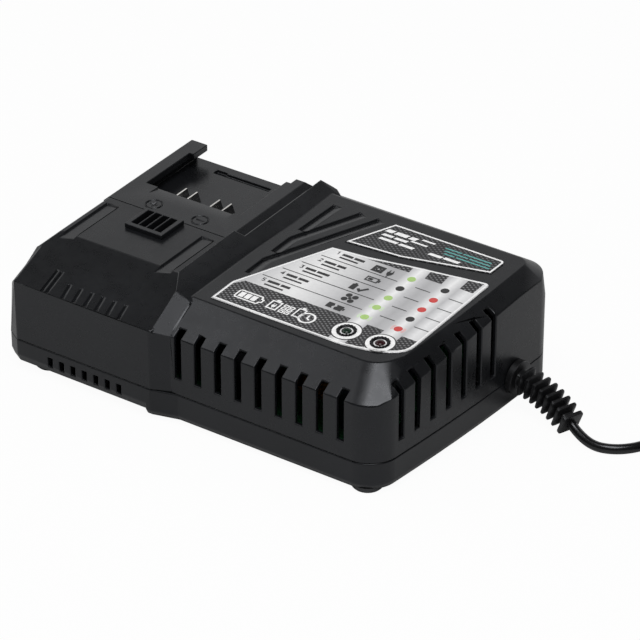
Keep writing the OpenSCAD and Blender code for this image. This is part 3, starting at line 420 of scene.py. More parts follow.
# Housing mouldings: CAD node, bevel in millimetres and slot of each, and the rounding's limits.
housing = {
    "upper": ("upper_housing", 0.5, "abs_black"),
    "lower": ("lower_housing", 0.5, "abs_black"),
    "dock": ("dock_insert", 0.35, "abs_insert"),
    "grille": ("vent_grille", 0.3, "abs_insert"),
}
rounding = {
    "sharp": 25,  # degrees of turn past which an edge is a crease
    "clear": 8.5,  # degrees past which it is one between two wide faces
    "wide": 62 * mm**2,  # a face this large is a wall of its own and not a step of a curve
    "flat": 0.5,  # degrees within which faces count as one
    "shortest": 1.2,  # share of the bevel's size under which an edge isn't rounded
    "stray": 0.45,  # share of the bevel's size that a point may lie off the surface
    "segments": 2,
    "wallWeight": 90,  # how much more a wide face counts in the shading of its corners
}
housingPlastics = {
    "upper": moulded("upperPlastic", seen("#101113"), 0.3, grain=1100, depth=0.02, rub=0.03, specular=0.45),
    "lower": moulded("basePlastic", seen("#0f1012"), 0.3, grain=1300, depth=0.012, rub=0.02, specular=0.45),
    "dock": moulded("dockPlastic", seen("#111214"), 0.29, grain=1300, depth=0.01, rub=0.02),
    "grille": moulded("grillePlastic", seen("#131416"), 0.3, grain=1300, depth=0.01, rub=0.02),
}


# A CAD node's surface as one merged skin, with its creases rounded off by a bevel.
# A crease is an edge that turns sharply, or any clear turn between two wide faces.
def roundedCopy(name, node, size, material):
    mesh = nodes[node].data.copy()
    mesh.name = name
    bm = bmesh.new()
    bm.from_mesh(mesh)
    bmesh.ops.remove_doubles(bm, verts=bm.verts, dist=2 * weld)
    bmesh.ops.dissolve_limit(bm, angle_limit=np.radians(rounding["flat"]), verts=bm.verts, edges=bm.edges)
    weight = bm.edges.layers.float.new("bevel_weight_edge")
    for edge in bm.edges:
        if len(edge.link_faces) != 2:
            continue
        turn = np.degrees(edge.calc_face_angle(0))
        area = min(face.calc_area() for face in edge.link_faces)
        crease = turn > rounding["sharp"] or (turn > rounding["clear"] and area > rounding["wide"])
        edge[weight] = 1.0 if crease and edge.calc_length() > rounding["shortest"] * size * mm else 0.0
        edge.smooth = not crease
    for face in bm.faces:
        face.smooth = True
    surface = BVHTree.FromBMesh(bm)
    bm.to_mesh(mesh)
    bm.free()
    mesh.materials.clear()
    mesh.materials.append(material)
    piece = bpy.data.objects.new(name, mesh)
    bpy.context.scene.collection.objects.link(piece)
    bevel = piece.modifiers.new("roundEdges", "BEVEL")
    bevel.width = size * mm
    bevel.segments = rounding["segments"]
    bevel.limit_method = "WEIGHT"
    bevel.use_clamp_overlap = False
    bevel.harden_normals = False
    rounded = piece.evaluated_get(bpy.context.evaluated_depsgraph_get())
    piece.data = bpy.data.meshes.new_from_object(rounded)
    piece.data.name = name
    piece.modifiers.remove(bevel)
    for vertex in piece.data.vertices:  # corners that a bevel throws out go back to the surface
        near, _, _, away = surface.find_nearest(vertex.co)
        if away > rounding["stray"] * size * mm:
            vertex.co = near
    even = piece.modifiers.new("flatWalls", "WEIGHTED_NORMAL")
    even.keep_sharp = True
    even.weight = rounding["wallWeight"]
    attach(piece, "charger")
    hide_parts(node)


for key, (node, size, slot) in housing.items():
    roundedCopy(key + "Shell", node, size, housingPlastics[key])
print("housing rounded")

# Panel: its height at the origin, its slope, and in millimetres the films and the prints on them.
panel = {
    "height": 63.805,
    "slope": 0.055,
    "film": 0.4,
    "filmBevel": (0.12, 0.1),  # inwards and downwards
    "weave": 0.02,  # heights of the prints above the film
    "print": 0.045,
    "namePrint": 0.05,
    "white": 0.07,
}


# Points of the sloped panel (x across, y up the slope, h above it) as points in metres:
# y and h are turned by the slope's angle.
def onPanel(flat, h):
    flat = np.asarray(flat, float)
    tilt = np.arctan(panel["slope"])
    x, y = flat[:, 0], flat[:, 1]
    return np.stack([x, y * np.cos(tilt) - h * np.sin(tilt),
                     panel["height"] + y * np.sin(tilt) + h * np.cos(tilt)], -1) * mm


# Points of an arc: centre + radius * (cos, sin) from one angle in degrees to the other.
def bow(centre, radius, start, end, steps):
    t = np.radians(np.linspace(start, end, steps))
    return np.stack([centre[0] + radius * np.cos(t), centre[1] + radius * np.sin(t)], -1)


# An outline moved inwards: each corner goes along the mitre of its two sides, by their
# normals' sum over one plus their dot product, and the area's sign tells which way is in.
def inset(outline, gap):
    p = np.asarray(outline, float)
    ahead = np.roll(p, -1, 0) - p
    ahead /= np.linalg.norm(ahead, axis=1)[:, None]
    normal = np.stack([-ahead[:, 1], ahead[:, 0]], -1)
    before = np.roll(normal, 1, 0)
    mitre = (normal + before) / (1 + (normal * before).sum(1))[:, None]
    area = (p[:, 0] * np.roll(p[:, 1], -1) - np.roll(p[:, 0], -1) * p[:, 1]).sum()
    return p + mitre * gap * np.sign(area)


# The flat shapes below give points in the panel's plane and faces. A patch is one filled outline.
def patch(outline):
    return np.asarray(outline, float), [list(range(len(outline)))]


# The strip between an outline moved in by one distance and by another.
def rim(outline, outer, inner):
    a, b = inset(outline, outer), inset(outline, inner)
    k = np.arange(len(a))
    m = np.roll(k, -1)
    return np.concatenate([a, b]), np.stack([k, m, m + len(a), k + len(a)], -1)


# A filled circle, as an arc of 360 degrees without its last point.
def disc(x, y, r, steps=40):
    return patch(bow((x, y), r, 0, 360, steps + 1)[:-1])


# The strip between two circles round one centre.
def ring(x, y, outer, inner, steps=64):
    t = np.linspace(0, 2 * np.pi, steps, endpoint=False)
    circle = np.stack([np.cos(t), np.sin(t)], -1)
    k = np.arange(steps)
    m = np.roll(k, -1)
    return (np.concatenate([circle * outer, circle * inner]) + [x, y],
            np.stack([k, m, m + steps, k + steps], -1))


# A stroke of even width through points: half the width to each side along mitred normals.
def stroke(points, width):
    p = np.asarray(points, float)
    ahead = np.diff(p, axis=0)
    ahead /= np.linalg.norm(ahead, axis=1)[:, None]
    normal = np.stack([-ahead[:, 1], ahead[:, 0]], -1)
    a = np.concatenate([normal[:1], normal])
    b = np.concatenate([normal, normal[-1:]])
    mitre = (a + b) / (1 + (a * b).sum(1))[:, None] * width / 2
    k = np.arange(len(p) - 1)
    return np.concatenate([p - mitre, p + mitre]), np.stack([k, k + 1, k + 1 + len(p), k + len(p)], -1)


# A bar: left end, right end, middle height, thickness, and how far its top leans to the right.
def bar(x0, x1, y, thick, lean=0.0):
    low, high = y - thick / 2, y + thick / 2
    return patch([(x0, low), (x1, low), (x1 + lean, high), (x0 + lean, high)])


# Shapes drawn about their own origin, scaled and moved to a place on the panel.
def placed(shapes, x, y, size=1.0):
    return [(np.asarray(p) * size + [x, y], f) for p, f in shapes]


# Many flat shapes as one print on a film, at its layer's height. Faces with a negative area are
# turned round, so that all look up.
def printed(name, shapes, layer, material, slot="label_film"):
    points, faces, count = [], [], 0
    for flat, quads in shapes:
        flat = np.asarray(flat, float)
        for quad in quads:
            q = flat[np.asarray(quad)]
            area = (q[:, 0] * np.roll(q[:, 1], -1) - np.roll(q[:, 0], -1) * q[:, 1]).sum()
            quad = list(quad) if area > 0 else list(quad)[::-1]
            faces.append([count + int(k) for k in quad])
        points.append(flat)
        count += len(flat)
    height = panel["film"] + panel[layer]
    return addPiece(name, onPanel(np.concatenate(points), height), faces, material, slot, shell=False)


label = {
    "outline": np.concatenate([
        [(-6.2, -47.4), (71.0, -47.4), (77.5, -46.4), (84.0, -44.9), (89.5, -43.1), (94.0, -41.0)],
        [(97.6, -38.5), (100.0, -35.8), (101.2, -32.6), (101.4, -29.0)],
        bow((98.8, 32.2), 2.6, 0, 82, 6),
        [(58.8, 28.2), (37.0, 23.9), (17.0, 21.8), (-6.2, -30.0)]]),
    # lines between the rows: left end, right end and height
    "lines": [(16.6, 61.8, 12.8), (11.9, 61.8, 2.7), (7.4, 61.8, -7.0), (2.8, 61.8, -17.2)]
    + [(72.2, 80.8, y) for y in (13.0, 3.0, -6.9, -17.0)]
    + [(91.4, 99.6, y) for y in (13.2, 3.3, -6.5, -16.3)],
    "line": 0.55,
    "greenX": 66.6,
    "redX": 86.1,
    "dotRows": [18.1, 8.1, -1.9, -11.8, -21.9],
    "dot": 2.2,
    "lamps": [(66.4, -36.6), (85.8, -36.6)],
    "frame": (0.55, 1.45),  # distances of the white frame's sides from the edge
    "lampRings": (7.85, 7.2, 4.95),  # radii: dark line outside, inside, and the lamp's hole
    "arcs": (2.9, 3.6),  # radii of the thin arcs beside a blinking lamp's dot
    "arcStarts": (-35, 145),  # degrees
    "arcSpan": 70,
    "arcSteps": 9,
    "arcStroke": 0.35,
    # row number's left end, words' right end, heights of the upper and lower words
    "words": [(22.0, 38.2, 18.9, 16.0), (18.2, 34.0, 9.0, 6.0), (13.9, 31.0, -0.9, -3.9),
              (9.4, 25.6, -10.7, -13.8), (5.2, 21.6, -20.5, -23.7)],
    "numberStroke": 0.5,
    "numberDrop": 1.1,  # its foot below the middle of the upper words
    "wordStart": 3.2,  # after the number
    "splitStart": 3.4,
    "wordGap": 0.9,
    "lowerShorter": 2.0,
    "upper": 1.9,  # thickness of the upper and the lower words
    "lower": 1.2,
}
darkInk = ink("darkInk", seen("#2b2b2c"))
tealInk = ink("tealInk", seen("#5fa7a3"))
whiteInk = ink("whiteInk", seen("#f7f7f7"), 0.34)
greenInk = ink("greenInk", seen("#accf7c"), 0.4)
redInk = ink("redInk", seen("#cd4744"), 0.4)
paleGreenInk = ink("paleGreenInk", seen("#d6f0c4"), 0.4)
paleRedInk = ink("paleRedInk", seen("#efb0ae"), 0.4)


# Woven look of the printed ground: pale lens-shaped spots where sin(x) * sin(y) is high.
def weaveGround(name, dark, pale):
    f = Finish(name)
    pitch = (3.25 * mm, 2.26087 * mm)  # two spots across and two spots up
    waves = [f.math("SINE", f.math("MULTIPLY", f.split(f.place)[k], 2 * np.pi / pitch[k])) for k in (0, 1)]
    spots = f.spread(f.math("MULTIPLY", *waves), 0.1, 0.75)
    soft = f.math("MULTIPLY", spots, f.spread(f.noise(scale=260), 0.25, 0.7, (0.6, 1.0)))
    f.set(Base_Color=f.mix(soft, seen(dark), seen(pale)), Roughness=0.4)
    return f.bump(spots, 0.15, 0.01 * mm).material


# Silver film with its reflection painted on: pale bands of painted highlight run down both lamp columns,
# greyer bands of painted shade lie between them. The bands are a colour ramp across the label, from its
# place along X in millimetres.
def silverFilm():
    f = Finish("filmSilver")
    left, right = -10, 105
    # painted reflection: pale where the film shows light, grey where it shows shade, across the label
    paintedSheenBands = [(-6, "#bcbcbe"), (8, "#dcdcdd"), (24, "#f2f2f2"), (40, "#d4d4d5"), (54, "#acacae"),
             (61, "#bcbcbe"), (66.5, "#fafafa"), (71, "#cacacc"), (76, "#b4b4b6"), (81, "#c2c2c4"),
             (86, "#f6f6f6"), (91, "#c0c0c2"), (96, "#eeeeef"), (101, "#d6d6d7")]
    across = f.spread(f.split(f.place)[0], left * mm, right * mm)
    ramp = f.make("ShaderNodeValToRGB", {"Fac": across})
    elements = ramp.color_ramp.elements
    for k, (x, tone) in enumerate(paintedSheenBands):
        band = elements[k] if k < 2 else elements.new(1.0)  # a new ramp has two elements
        band.position = (x - left) / (right - left)
        band.color = seen(tone)
    brushed = f.noise(scale=500, detail=3)
    tone = f.mix(f.spread(brushed, 0.3, 0.75, (0.0, 0.12)), ramp, seen("#8e8e90"))
    f.set(Base_Color=tone, Roughness=0.36, Metallic=0.15)
    return f.bump(brushed, 0.1, 0.01 * mm).material


filmSilver = silverFilm()
weaveInk = weaveGround("weaveInk", "#1c1c1e", "#8a8a8c")
nameWeave = weaveGround("nameWeave", "#17181a", "#6e6e71")


# A thin plate of film: its outline at the panel, near its top, and drawn in at its top, where
# the edge is bevelled.
def filmPlate(outline):
    top, n = panel["film"], len(outline)
    inwards, down = panel["filmBevel"]
    drawnIn = inset(outline, inwards)
    points = np.concatenate([onPanel(outline, 0), onPanel(outline, top - down), onPanel(drawnIn, top)])
    faces = list(gridFaces(3, n, wrap=True))
    return points, faces + [list(range(2 * n, 3 * n)), list(range(n))[::-1]]


statusFilm = addPiece("statusFilm", *filmPlate(label["outline"]), filmSilver, "label_film")
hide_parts("status_label")


# Marks of a blinking lamp: two pairs of thin arcs either side of a dot.
def blinkArcs(x, y):
    span, steps = label["arcSpan"], label["arcSteps"]
    return [stroke(bow((x, y), radius, start, start + span, steps), label["arcStroke"])
            for radius in label["arcs"] for start in label["arcStarts"]]


weaves = [  # one band along the lower edge and blocks at the ends of the lamp columns
    patch([(-4.7, -46.3), (62.0, -46.3), (61.8, -26.3), (-1.0, -26.3), (-4.7, -31.6)]),
    patch([(38.0, 22.0), (61.9, 22.7), (61.4, 27.4), (58.8, 27.2)]),
    patch([(71.5, 22.2), (81.2, 22.2), (80.4, 30.6), (70.6, 28.9)]),
    patch([(91.0, 23.6), (98.6, 23.4), (98.7, 33.4), (90.6, 32.3)]),
    patch([(71.6, -46.0), (78.0, -45.0), (81.2, -44.3), (81.2, -26.6), (71.6, -26.6)]),
    patch([(91.2, -41.3), (95.0, -39.4), (97.8, -36.9), (99.6, -33.6), (99.9, -26.2), (91.2, -26.2)]),
]
printed("weaveGrounds", weaves, "weave", weaveInk)

# Symbols of the rows, from the top: socket and plug, battery, full battery and tick, fan,
# broken plug. Each is drawn about its lower left corner or its middle and then placed.
socketAndPlug = [
    rim([(0, 0), (6.4, 0), (6.4, 5.6), (0, 5.6)], 0, 1.7), ring(3.2, 2.8, 1.5, 0.6, 24),
    patch([(8.2, 3.4), (12, 3.4), (11.5, 1.2), (10.7, 0.2), (9.5, 0.2), (8.7, 1.2)]),
    bar(8.8, 9.5, 4.2, 1.9), bar(10.7, 11.4, 4.2, 1.9), bar(9.8, 10.4, -0.7, 2.0)]
battery = [
    rim([(0, 0), (6.6, 0), (6.6, 3.8), (0, 3.8)], 0, 0.75), bar(6.7, 7.5, 1.9, 1.9), bar(1.2, 3.6, 1.9, 1.7)]
fullAndTick = [
    patch([(0, 0), (3.4, 0), (3.4, 5.2), (0, 5.2)]), bar(0.9, 2.5, 5.7, 0.9),
    stroke([(4.8, 2.4), (6.5, 0.7), (9.8, 4.8)], 1.6)]
fan = [patch(bow((1.95 * np.cos(a), 1.95 * np.sin(a)), 1.2, 0, 360, 17)[:-1])
       for a in np.radians([40, 130, 220, 310])] + [disc(0, 0, 0.7, 16)]
brokenPlug = [
    patch([(0, 0), (3.9, 0), (3.1, 1.5), (4.1, 2.6), (3.4, 4.4), (0, 4.4)]),
    patch([(5.2, -0.4), (9.2, -0.4), (9.2, 4.0), (4.8, 4.0), (5.6, 2.6), (4.5, 1.5)]),
    bar(9.3, 10.3, 1.8, 1.9)]
symbols = placed(socketAndPlug, 44.6, 14.4) + placed(battery, 46.9, 5.6, 1.1)
symbols += placed(fullAndTick, 44.8, -4.9, 0.95) + placed(fan, 51.0, -12.0, 1.4)
symbols += placed(brokenPlug, 44.6, -24.0)

# Row numbers as strokes, and plain bars where the words would be.
digits = [
    [(0, 1.8), (0.8, 2.4), (0.8, 0)],
    [(0, 2.0), (0.4, 2.4), (1.2, 2.4), (1.5, 1.9), (1.3, 1.3), (0, 0), (1.6, 0)],
    [(0, 2.4), (1.5, 2.4), (0.7, 1.4), (1.3, 1.2), (1.5, 0.7), (1.1, 0), (0, 0.1)],
    [(1.2, 0), (1.2, 2.4), (0, 0.7), (1.7, 0.7)],
    [(1.4, 2.4), (0.1, 2.4), (0, 1.3), (1.0, 1.4), (1.5, 0.8), (1.1, 0), (0, 0.1)],
]
words = []
for number, (left, end, high, low) in enumerate(label["words"], 1):
    start, room = left + label["wordStart"], end - left - label["splitStart"]
    split = left + label["splitStart"] + room * (0.42 + 0.05 * (number % 3))  # its place varies by row
    words += placed([stroke(digits[number - 1], label["numberStroke"])], left, high - label["numberDrop"])
    words += [bar(start, split, high, label["upper"])]
    words += [bar(split + label["wordGap"], end, high, label["upper"])]
    words += [bar(start, end - label["lowerShorter"], low, label["lower"])]

lines = [bar(x0, x1, y, label["line"]) for x0, x1, y in label["lines"]]


# Dots of one lamp's column in the given rows, the top row being 0.
def dots(x, rows):
    return [disc(x, label["dotRows"][row], label["dot"]) for row in rows]


# Rings round both lamps.
def lampRings(outer, inner):
    return [ring(x, y, outer, inner) for x, y in label["lamps"]]


greenX, redX, dotRows = label["greenX"], label["redX"], label["dotRows"]
outside, inside, hole = label["lampRings"]
darkDots = dots(greenX, [1]) + dots(redX, [0, 3])
printed("darkPrint", lines + symbols + words + darkDots + lampRings(outside, inside), "print", darkInk)
printed("greenDots", dots(greenX, [0, 2, 3, 4]), "print", greenInk)
printed("redDots", dots(redX, [1, 2, 4]), "print", redInk)
printed("greenBlinks", blinkArcs(greenX, dotRows[3]) + blinkArcs(greenX, dotRows[4]), "print", paleGreenInk)
printed("redBlinks", blinkArcs(redX, dotRows[4]), "print", paleRedInk)

# White symbols on the woven band: charged battery, case with a grid, battery with a clock.
batteryOutline = [
    (-0.3, 0.6), (0.6, -0.3), (11.2, -0.3), (12.0, 0.5), (12.0, 1.3), (13.1, 1.6), (13.1, 4.1),
    (12.0, 4.4), (12.0, 5.2), (11.2, 6.0), (0.6, 6.0), (-0.3, 5.1)]
charged = [rim(batteryOutline, 0, 0.75)] + [bar(x, x + 2.4, 2.85, 3.6) for x in (1.3, 4.3, 7.3)]
plugInCase = [
    rim([(0, 0), (5.4, 0), (5.4, 6.6), (0, 6.6)], 0, 0.75), bar(1.6, 3.8, 7.2, 1.1),
    patch([(1.7, 3.4), (3.8, 3.4), (3.6, 2.2), (3.1, 1.7), (2.4, 1.7), (1.9, 2.2)]),
    bar(2.0, 2.4, 4.0, 1.2), bar(3.1, 3.5, 4.0, 1.2), bar(2.6, 2.9, 1.3, 1.2)]
grid = [rim([(x, y), (x + 2.6, y), (x + 2.6, y + 1.9), (x, y + 1.9)], 0, 0.6)
        for x in (6.4, 9.3) for y in (0.0, 2.3, 4.6)]
clocked = [
    rim([(0, 1.5), (4.4, 1.5), (4.4, 8.6), (0, 8.6)], 0, 0.7), bar(1.3, 3.1, 9.2, 1.1),
    ring(7.2, 3.6, 4.2, 3.2, 40), stroke([(7.2, 6.0), (7.2, 3.6), (9.0, 2.5)], 0.8)]
white = [rim(label["outline"], *label["frame"])] + lampRings(inside, hole)
white += placed(charged, 2.2, -40.6, 1.18) + placed(plugInCase + grid, 20.9, -40.6, 1.14)
white += placed(clocked, 36.0, -41.6, 1.1)
printed("whitePrint", white, "white", whiteInk)

# Nameplate: a smaller film with generic slanted bars, each with its left end, right end,
# middle height and thickness.
nameplate = {
    "outline": np.concatenate([
        [(18.9, 29.7), (50.3, 32.0), (96.1, 43.4)], bow((94.0, 54.1), 2.4, 0, 90, 5), [(31.0, 56.6)]]),
    "frame": (0.45, 1.45),
    "lean": 0.45,  # share of a bar's thickness
    "white": [(30.0, 34.2, 49.6, 2.7), (35.4, 42.6, 49.6, 2.7), (43.8, 47.8, 49.6, 2.7),
              (50.4, 58.0, 51.2, 1.2), (30.4, 36.6, 45.4, 1.9), (37.8, 45.0, 45.4, 1.9),
              (46.4, 55.8, 47.2, 1.2), (31.0, 41.6, 41.8, 1.9), (42.8, 51.2, 41.8, 1.9),
              (60.0, 67.6, 42.4, 2.0), (68.6, 77.4, 42.8, 2.0)],
    "teal": [(64.4, 74.0, 51.0, 0.9), (75.0, 91.2, 51.0, 0.9), (65.4, 79.0, 48.6, 0.9),
             (80.0, 92.2, 48.6, 0.9), (66.4, 72.6, 46.2, 0.9), (73.6, 93.0, 46.2, 0.9)],
}
nameFilm = addPiece("nameFilm", *filmPlate(nameplate["outline"]), nameWeave, "name_film")
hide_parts("name_label")
nameWhite, nameTeal = (
    [bar(x0, x1, y, thick, nameplate["lean"] * thick) for x0, x1, y, thick in nameplate[key]]
    for key in ("white", "teal"))
nameFrame = rim(nameplate["outline"], *nameplate["frame"])
printed("namePrint", [nameFrame] + nameWhite, "namePrint", whiteInk, "name_film")
printed("nameAccent", nameTeal, "namePrint", tealInk, "name_film")
print("labels printed")

# Lamps: a domed lens in a holder with a toothed rim.
lamp = {
    "lens": 2.6,  # radius
    "dome": (0.1, 1.5),  # where it starts and how high it rises
    "foot": -4.0,
    "teeth": 16,
    "toothDepth": 0.17,
    "toothSteepness": 4,
    "domeSteps": 14,
    "lensSides": 48,
    "holderSides": 192,
    # the holder's radius and height: seat, rim (above the film) and inside
    "seat": [(4.2, -1.5), (4.2, 0.0)],
    "rim": [(4.9, 0.02), (4.9, 0.55), (4.6, 0.85), (4.05, 0.85), (3.8, 0.55)],
    "inside": [(2.95, 0.15), (2.7, -1.5), (4.2, -1.5)],
    "toothed": (3, 4, 5),  # points of the profile that the teeth move
}
holderPlastic = moulded("holderPlastic", seen("#060607"), 0.4, grain=1800, depth=0.008, rub=0.03,
                        specular=0.3)


# A surface turned round the panel's normal at one place: centre + radius * (cos, sin). Teeth are
# a wave of the radius, tanh(steepness * cos(teeth * angle)), at the toothed points only.
def turned(centre, profile, steps, teeth=0, toothed=()):
    r, h = np.asarray(profile, float).T
    t = np.linspace(0, 2 * np.pi, steps, endpoint=False)
    wave = np.tanh(lamp["toothSteepness"] * np.cos(teeth * t)) * lamp["toothDepth"]
    moved = np.isin(np.arange(len(r)), toothed)[:, None]
    radius = r[:, None] + moved * wave
    flat = np.stack([centre[0] + radius * np.cos(t), centre[1] + radius * np.sin(t)], -1).reshape(-1, 2)
    points = onPanel(flat, np.repeat(h, steps))
    return points, list(gridFaces(len(r), steps, wrap=True))


# Tinted clear plastic, unevenly dark.
def lensPlastic(name, deep, glow):
    f = Finish(name)
    swirl = f.noise(scale=900)
    f.set(Base_Color=f.mix(f.spread(swirl, 0.3, 0.7), seen(deep), seen(glow)), Roughness=0.16,
          IOR=1.45, Specular_IOR_Level=0.35)
    return f.bump(swirl, 0.1, 0.01 * mm).material


domeStart, domeRise = lamp["dome"]
dome = [(lamp["lens"] * np.cos(a), domeStart + domeRise * np.sin(a))
        for a in np.linspace(0, np.pi / 2 - 0.01, lamp["domeSteps"])]
lensProfile = [(0.01, lamp["foot"]), (lamp["lens"], lamp["foot"])] + dome
holderProfile = lamp["seat"] + [(r, panel["film"] + h) for r, h in lamp["rim"]] + lamp["inside"]
for key, place, deep, glow in (("green", label["lamps"][0], "#101a14", "#1f3328"),
                               ("red", label["lamps"][1], "#1c0f11", "#3b1a1e")):
    glass = lensPlastic(key + "Glass", deep, glow)
    lensPiece = addPiece(key + "Lens", *turned(place, lensProfile, lamp["lensSides"]), glass,
                         "lens_" + key, smooth=60)
    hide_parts("led_" + key)
    holder = turned(place, holderProfile, lamp["holderSides"], lamp["teeth"], lamp["toothed"])
    addPiece(key + "Holder", *holder, holderPlastic, "abs_black", smooth=30)
print("lamps made")

# Finishes of the parts that keep their own meshes.
contactMetal = streaked("contactMetal", seen("#f4f2ee"), 0.2, stretch=(1800, 60, 1800))
steel = streaked("steel", seen("#b9bcc0"), 0.34)
finAluminium = streaked("finAluminium", seen("#2c2d30"), 0.45, stretch=(1500, 1500, 80))
chipEpoxy = moulded("chipEpoxy", seen("#1b1b1d"), 0.5, grain=2500, depth=0.01)
clampNylon = moulded("clampNylon", seen("#3c3d3f"), 0.48, grain=1200, depth=0.02)
terminalGreen = moulded("terminalGreen", seen("#2f7d46"), 0.4, grain=1200, depth=0.02)
ferrite = moulded("ferrite", seen("#3a3a3e"), 0.6, grain=2000, depth=0.04)
footRubber = moulded("footRubber", seen("#262627"), 0.5, grain=1400, depth=0.05)
fanPlastic = moulded("fanPlastic", seen("#1f2022"), 0.42, grain=1400, depth=0.02)
tieStrap = moulded("tieStrap", seen("#1b1b1c"), 0.5, grain=1600, depth=0.04)


# Circuit board: green mask over faintly raised tracks, the joints of a brick pattern.
def boardMask():
    f = Finish("boardMask")
    tracks = f.make("ShaderNodeTexBrick", {
        "Vector": f.place, "Scale": 320.0, "Mortar Size": 0.12, "Brick Width": 1.6, "Row Height": 0.7})
    tone = f.mix(tracks.outputs["Fac"], seen("#184c2d"), seen("#27683f"))
    f.set(Base_Color=tone, Roughness=f.spread(f.noise(scale=180, detail=3), 0.4, 0.7, (0.28, 0.4)))
    return f.bump(tracks.outputs["Fac"], 0.3, 0.03 * mm).material


# Sleeved can: a dark blue sleeve on the sides, bare metal where the surface faces up.
def sleevedCan():
    f = Finish("sleevedCan")
    top = f.spread(f.split(f.make("ShaderNodeNewGeometry").outputs["Normal"])[2], 0.85, 0.95)
    wave = f.noise(scale=220)
    sleeve = f.mix(f.spread(wave, 0.3, 0.7), seen("#0a0f19"), seen("#0f1826"))
    f.set(Base_Color=f.mix(top, sleeve, seen("#b4b7bb")), Metallic=top,
          Roughness=f.spread(wave, 0.3, 0.7, (0.28, 0.4)))
    return f.bump(wave, 0.1, 0.02 * mm).material


# Enamelled wire laid side by side: a sine of the height, with painted highlight on its crowns and painted
# shade in the grooves between turns.
def woundWire(name, colour, pitch):
    f = Finish(name)
    phase = f.math("MULTIPLY", f.split(f.place)[2], 2 * np.pi / (pitch * mm))
    rippleAndShade = f.spread(f.math("SINE", phase), -1, 1)
    # painted shade: the colour darkens towards the grooves between turns
    f.set(Base_Color=f.mix(rippleAndShade, toned(colour, 0.45), colour), Roughness=0.35, Metallic=0.5)
    return f.bump(rippleAndShade, 0.6, 0.15 * mm).material


# Glass tube with metal caps at both ends; the caps are told by their place along X.
def fuseBody():
    f = Finish("fuseBody")
    low, high = (corner.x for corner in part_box("fuse"))
    cap, blur = 5 * mm, 0.1 * mm
    x = f.split(f.place)[0]
    caps = f.math("MAXIMUM", f.spread(x, low + cap + blur, low + cap - blur),
                  f.spread(x, high - cap - blur, high - cap + blur))
    smear = f.spread(f.noise(scale=300), 0.3, 0.7, (0.15, 0.28))
    f.set(Base_Color=f.mix(caps, seen("#c9d3d4"), seen("#c6c2b6")), Metallic=caps, Roughness=smear)
    return f.material


# Plug pins: a black sleeve next to the plug, bare metal beyond it, told by their place along Y.
def pinFinish():
    f = Finish("pinFinish")
    plugSide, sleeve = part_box("plug_pins")[1].y, 10 * mm
    bare = f.spread(f.split(f.place)[1], plugSide - sleeve - 0.2 * mm, plugSide - sleeve, (1.0, 0.0))
    worn = f.noise(scale=500, detail=3)
    f.set(Base_Color=f.mix(bare, seen("#1a1a1b"), seen("#c9cacb")), Metallic=bare,
          Roughness=f.spread(worn, 0.3, 0.7, (0.24, 0.42)))
    return f.bump(worn, 0.15, 0.02 * mm).material


filmCap = moulded("filmCap", seen("#a8801f"), 0.35, grain=900, depth=0.02)
finishes = {
    contactMetal: ["blade_plus", "blade_temp", "blade_data", "blade_minus"],
    boardMask(): ["terminal_board", "led_board", "main_board"],
    steel: ["terminal_screws", "led_screws", "board_screws", "clamp_screws", "fan_screws", "case_screws"],
    terminalGreen: ["inlet_terminal"],
    leadRubber: ["inlet_lead"],
    clampNylon: ["cord_clamp"],
    fuseBody(): ["fuse"],
    woundWire("chokeWire", seen("#7a4320"), 1.1): ["filter_choke"],
    filmCap: ["filter_capacitor"],
    chipEpoxy: ["rectifier", "switch_transistor", "output_diode", "controller_chip"],
    sleevedCan(): ["bulk_capacitors", "output_capacitors"],
    ferrite: ["transformer_core"],
    woundWire("windingTape", seen("#9c6a2a"), 2.6): ["transformer_winding"],
    finAluminium: ["heatsink_primary", "heatsink_secondary"],
    fanPlastic: ["fan_frame", "fan_rotor"],
    footRubber: ["rubber_feet"],
    tieStrap: ["coil_tie"],
    pinFinish(): ["plug_pins"],
}
for finish, names in finishes.items():
    for name in names:
        mesh = nodes[name].data
        mesh.materials.clear()
        mesh.materials.append(finish)
print("parts finished")

# Floor, backdrop and light.
studio = {
    "floorSize": 8,
    "floor": "#dcdcdc",
    # painted shade: the floor as the object's gloss shows it is darker, standing for the floor in the
    # object's shadow
    "mirroredFloorShade": "#c2c2c2",  # as the object's gloss shows it
    "floorGlow": 0.955,  # share of the floor that is plain white to the camera; the rest takes the shadow
    "backdrop": 0.75,
    "backdropTop": (0.575, 0.67),  # sine of the height at which it ends
    "backdropWay": (-0.62, 0.78),  # X and Y of the direction in which it stands
    "backdropSides": (0.25, 0.6),  # cosine of the angle from there at which it ends
    "ambient": 0.42,  # even light from all round
    "dark": 0.05,  # what gloss shows beside the backdrop
    "levelWay": (0, 1.0, 0.02),  # the lamps' width is square to this direction
    # place, width, height, brightness as seen
    "lamps": [
        ("overhead", (0.32, -0.42, 1.60), 1.0, 0.85, 6.0),
        ("leftSky", (-1.10, -0.45, 1.40), 0.7, 0.9, 1.9),
    ],
}
edge = studio["floorSize"] / 2
corners = [(-edge, -edge, 0), (edge, -edge, 0), (edge, edge, 0), (-edge, edge, 0)]
floorMesh = bpy.data.meshes.new("floor")
floorMesh.from_pydata(corners, [], [[0, 1, 2, 3]])
floor = bpy.data.objects.new("floor", floorMesh)
bpy.context.scene.collection.objects.link(floor)
floor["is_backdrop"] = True
paper = Finish("paper")
rays = paper.make("ShaderNodeLightPath").outputs
# glossy rays see the darker floor tone: painted shade in the object's reflections
tone = paper.mix(rays["Is Glossy Ray"], seen(studio["floor"]), seen(studio["mirroredFloorShade"]))
paper.set(Base_Color=tone, Roughness=0.9)
glow = paper.make("ShaderNodeEmission", {"Color": (1, 1, 1, 1), "Strength": 1.0})
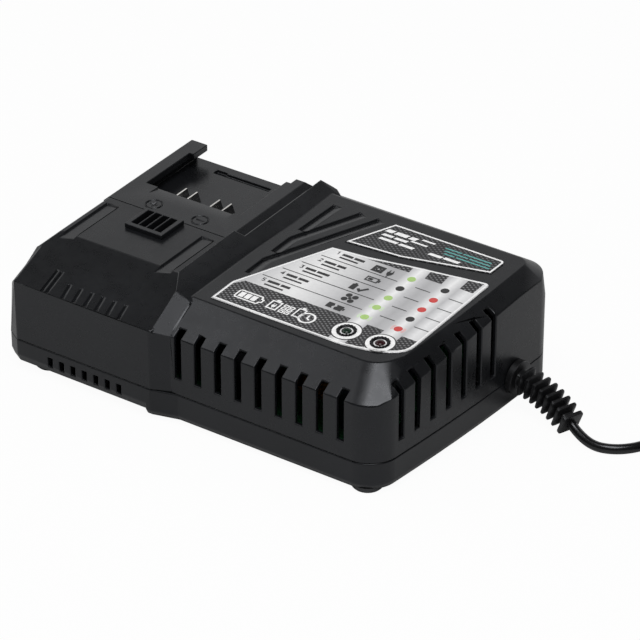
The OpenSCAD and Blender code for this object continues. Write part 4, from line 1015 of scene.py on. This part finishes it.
straight = paper.math("MAXIMUM", rays["Is Camera Ray"], rays["Is Transmission Ray"])
clear = paper.math("MULTIPLY", straight, studio["floorGlow"])
blend = paper.make("ShaderNodeMixShader", {0: clear, 1: paper.shader, 2: glow})
paper.feed(paper.tree.nodes["Material Output"].inputs["Surface"], blend)
floorMesh.materials.append(paper.material)

# The world: a pale backdrop that only gloss sees, even light for the rest, and plain white to
# the camera and through clear parts.
world = bpy.data.worlds.new("studio")
bpy.context.scene.world = world
world.use_nodes = True
world.node_tree.nodes.clear()
sky = Graph(world.node_tree)
rays = sky.make("ShaderNodeLightPath").outputs
way = sky.split(sky.make("ShaderNodeTexCoord").outputs["Generated"])
below = sky.spread(way["Z"], *studio["backdropTop"], to=(1.0, 0.0), curve="SMOOTHSTEP")
across, along = studio["backdropWay"]
cosine = sky.math("MULTIPLY_ADD", way["Y"], along, sky.math("MULTIPLY", way["X"], across))
facing = sky.spread(cosine, *studio["backdropSides"], curve="SMOOTHSTEP")
backdrop = sky.mix(sky.math("MULTIPLY", below, facing), studio["dark"], studio["backdrop"], kind="FLOAT")
bright = sky.mix(rays["Is Glossy Ray"], studio["ambient"], backdrop, kind="FLOAT")
straight = sky.math("MAXIMUM", rays["Is Camera Ray"], rays["Is Transmission Ray"])
level = sky.mix(straight, bright, 1.0, kind="FLOAT")
light = sky.make("ShaderNodeBackground", {"Color": (1, 1, 1, 1), "Strength": level})
sky.make("ShaderNodeOutputWorld", {"Surface": light})

# Soft boxes that face the object. A lamp of power pi * area * brightness looks that bright.
for name, place, wide, tall, bright in studio["lamps"]:
    data = bpy.data.lights.new(name, "AREA")
    data.shape = "RECTANGLE"
    data.size, data.size_y = wide, tall
    data.energy = bright * np.pi * wide * tall
    lampObject = bpy.data.objects.new(name, data)
    bpy.context.scene.collection.objects.link(lampObject)
    back = np.array(place) / np.linalg.norm(place)
    side = np.cross(studio["levelWay"], back)
    aimed(lampObject, side / np.linalg.norm(side), back, place)
    lampObject.visible_camera = False
print("studio lit")

low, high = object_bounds()
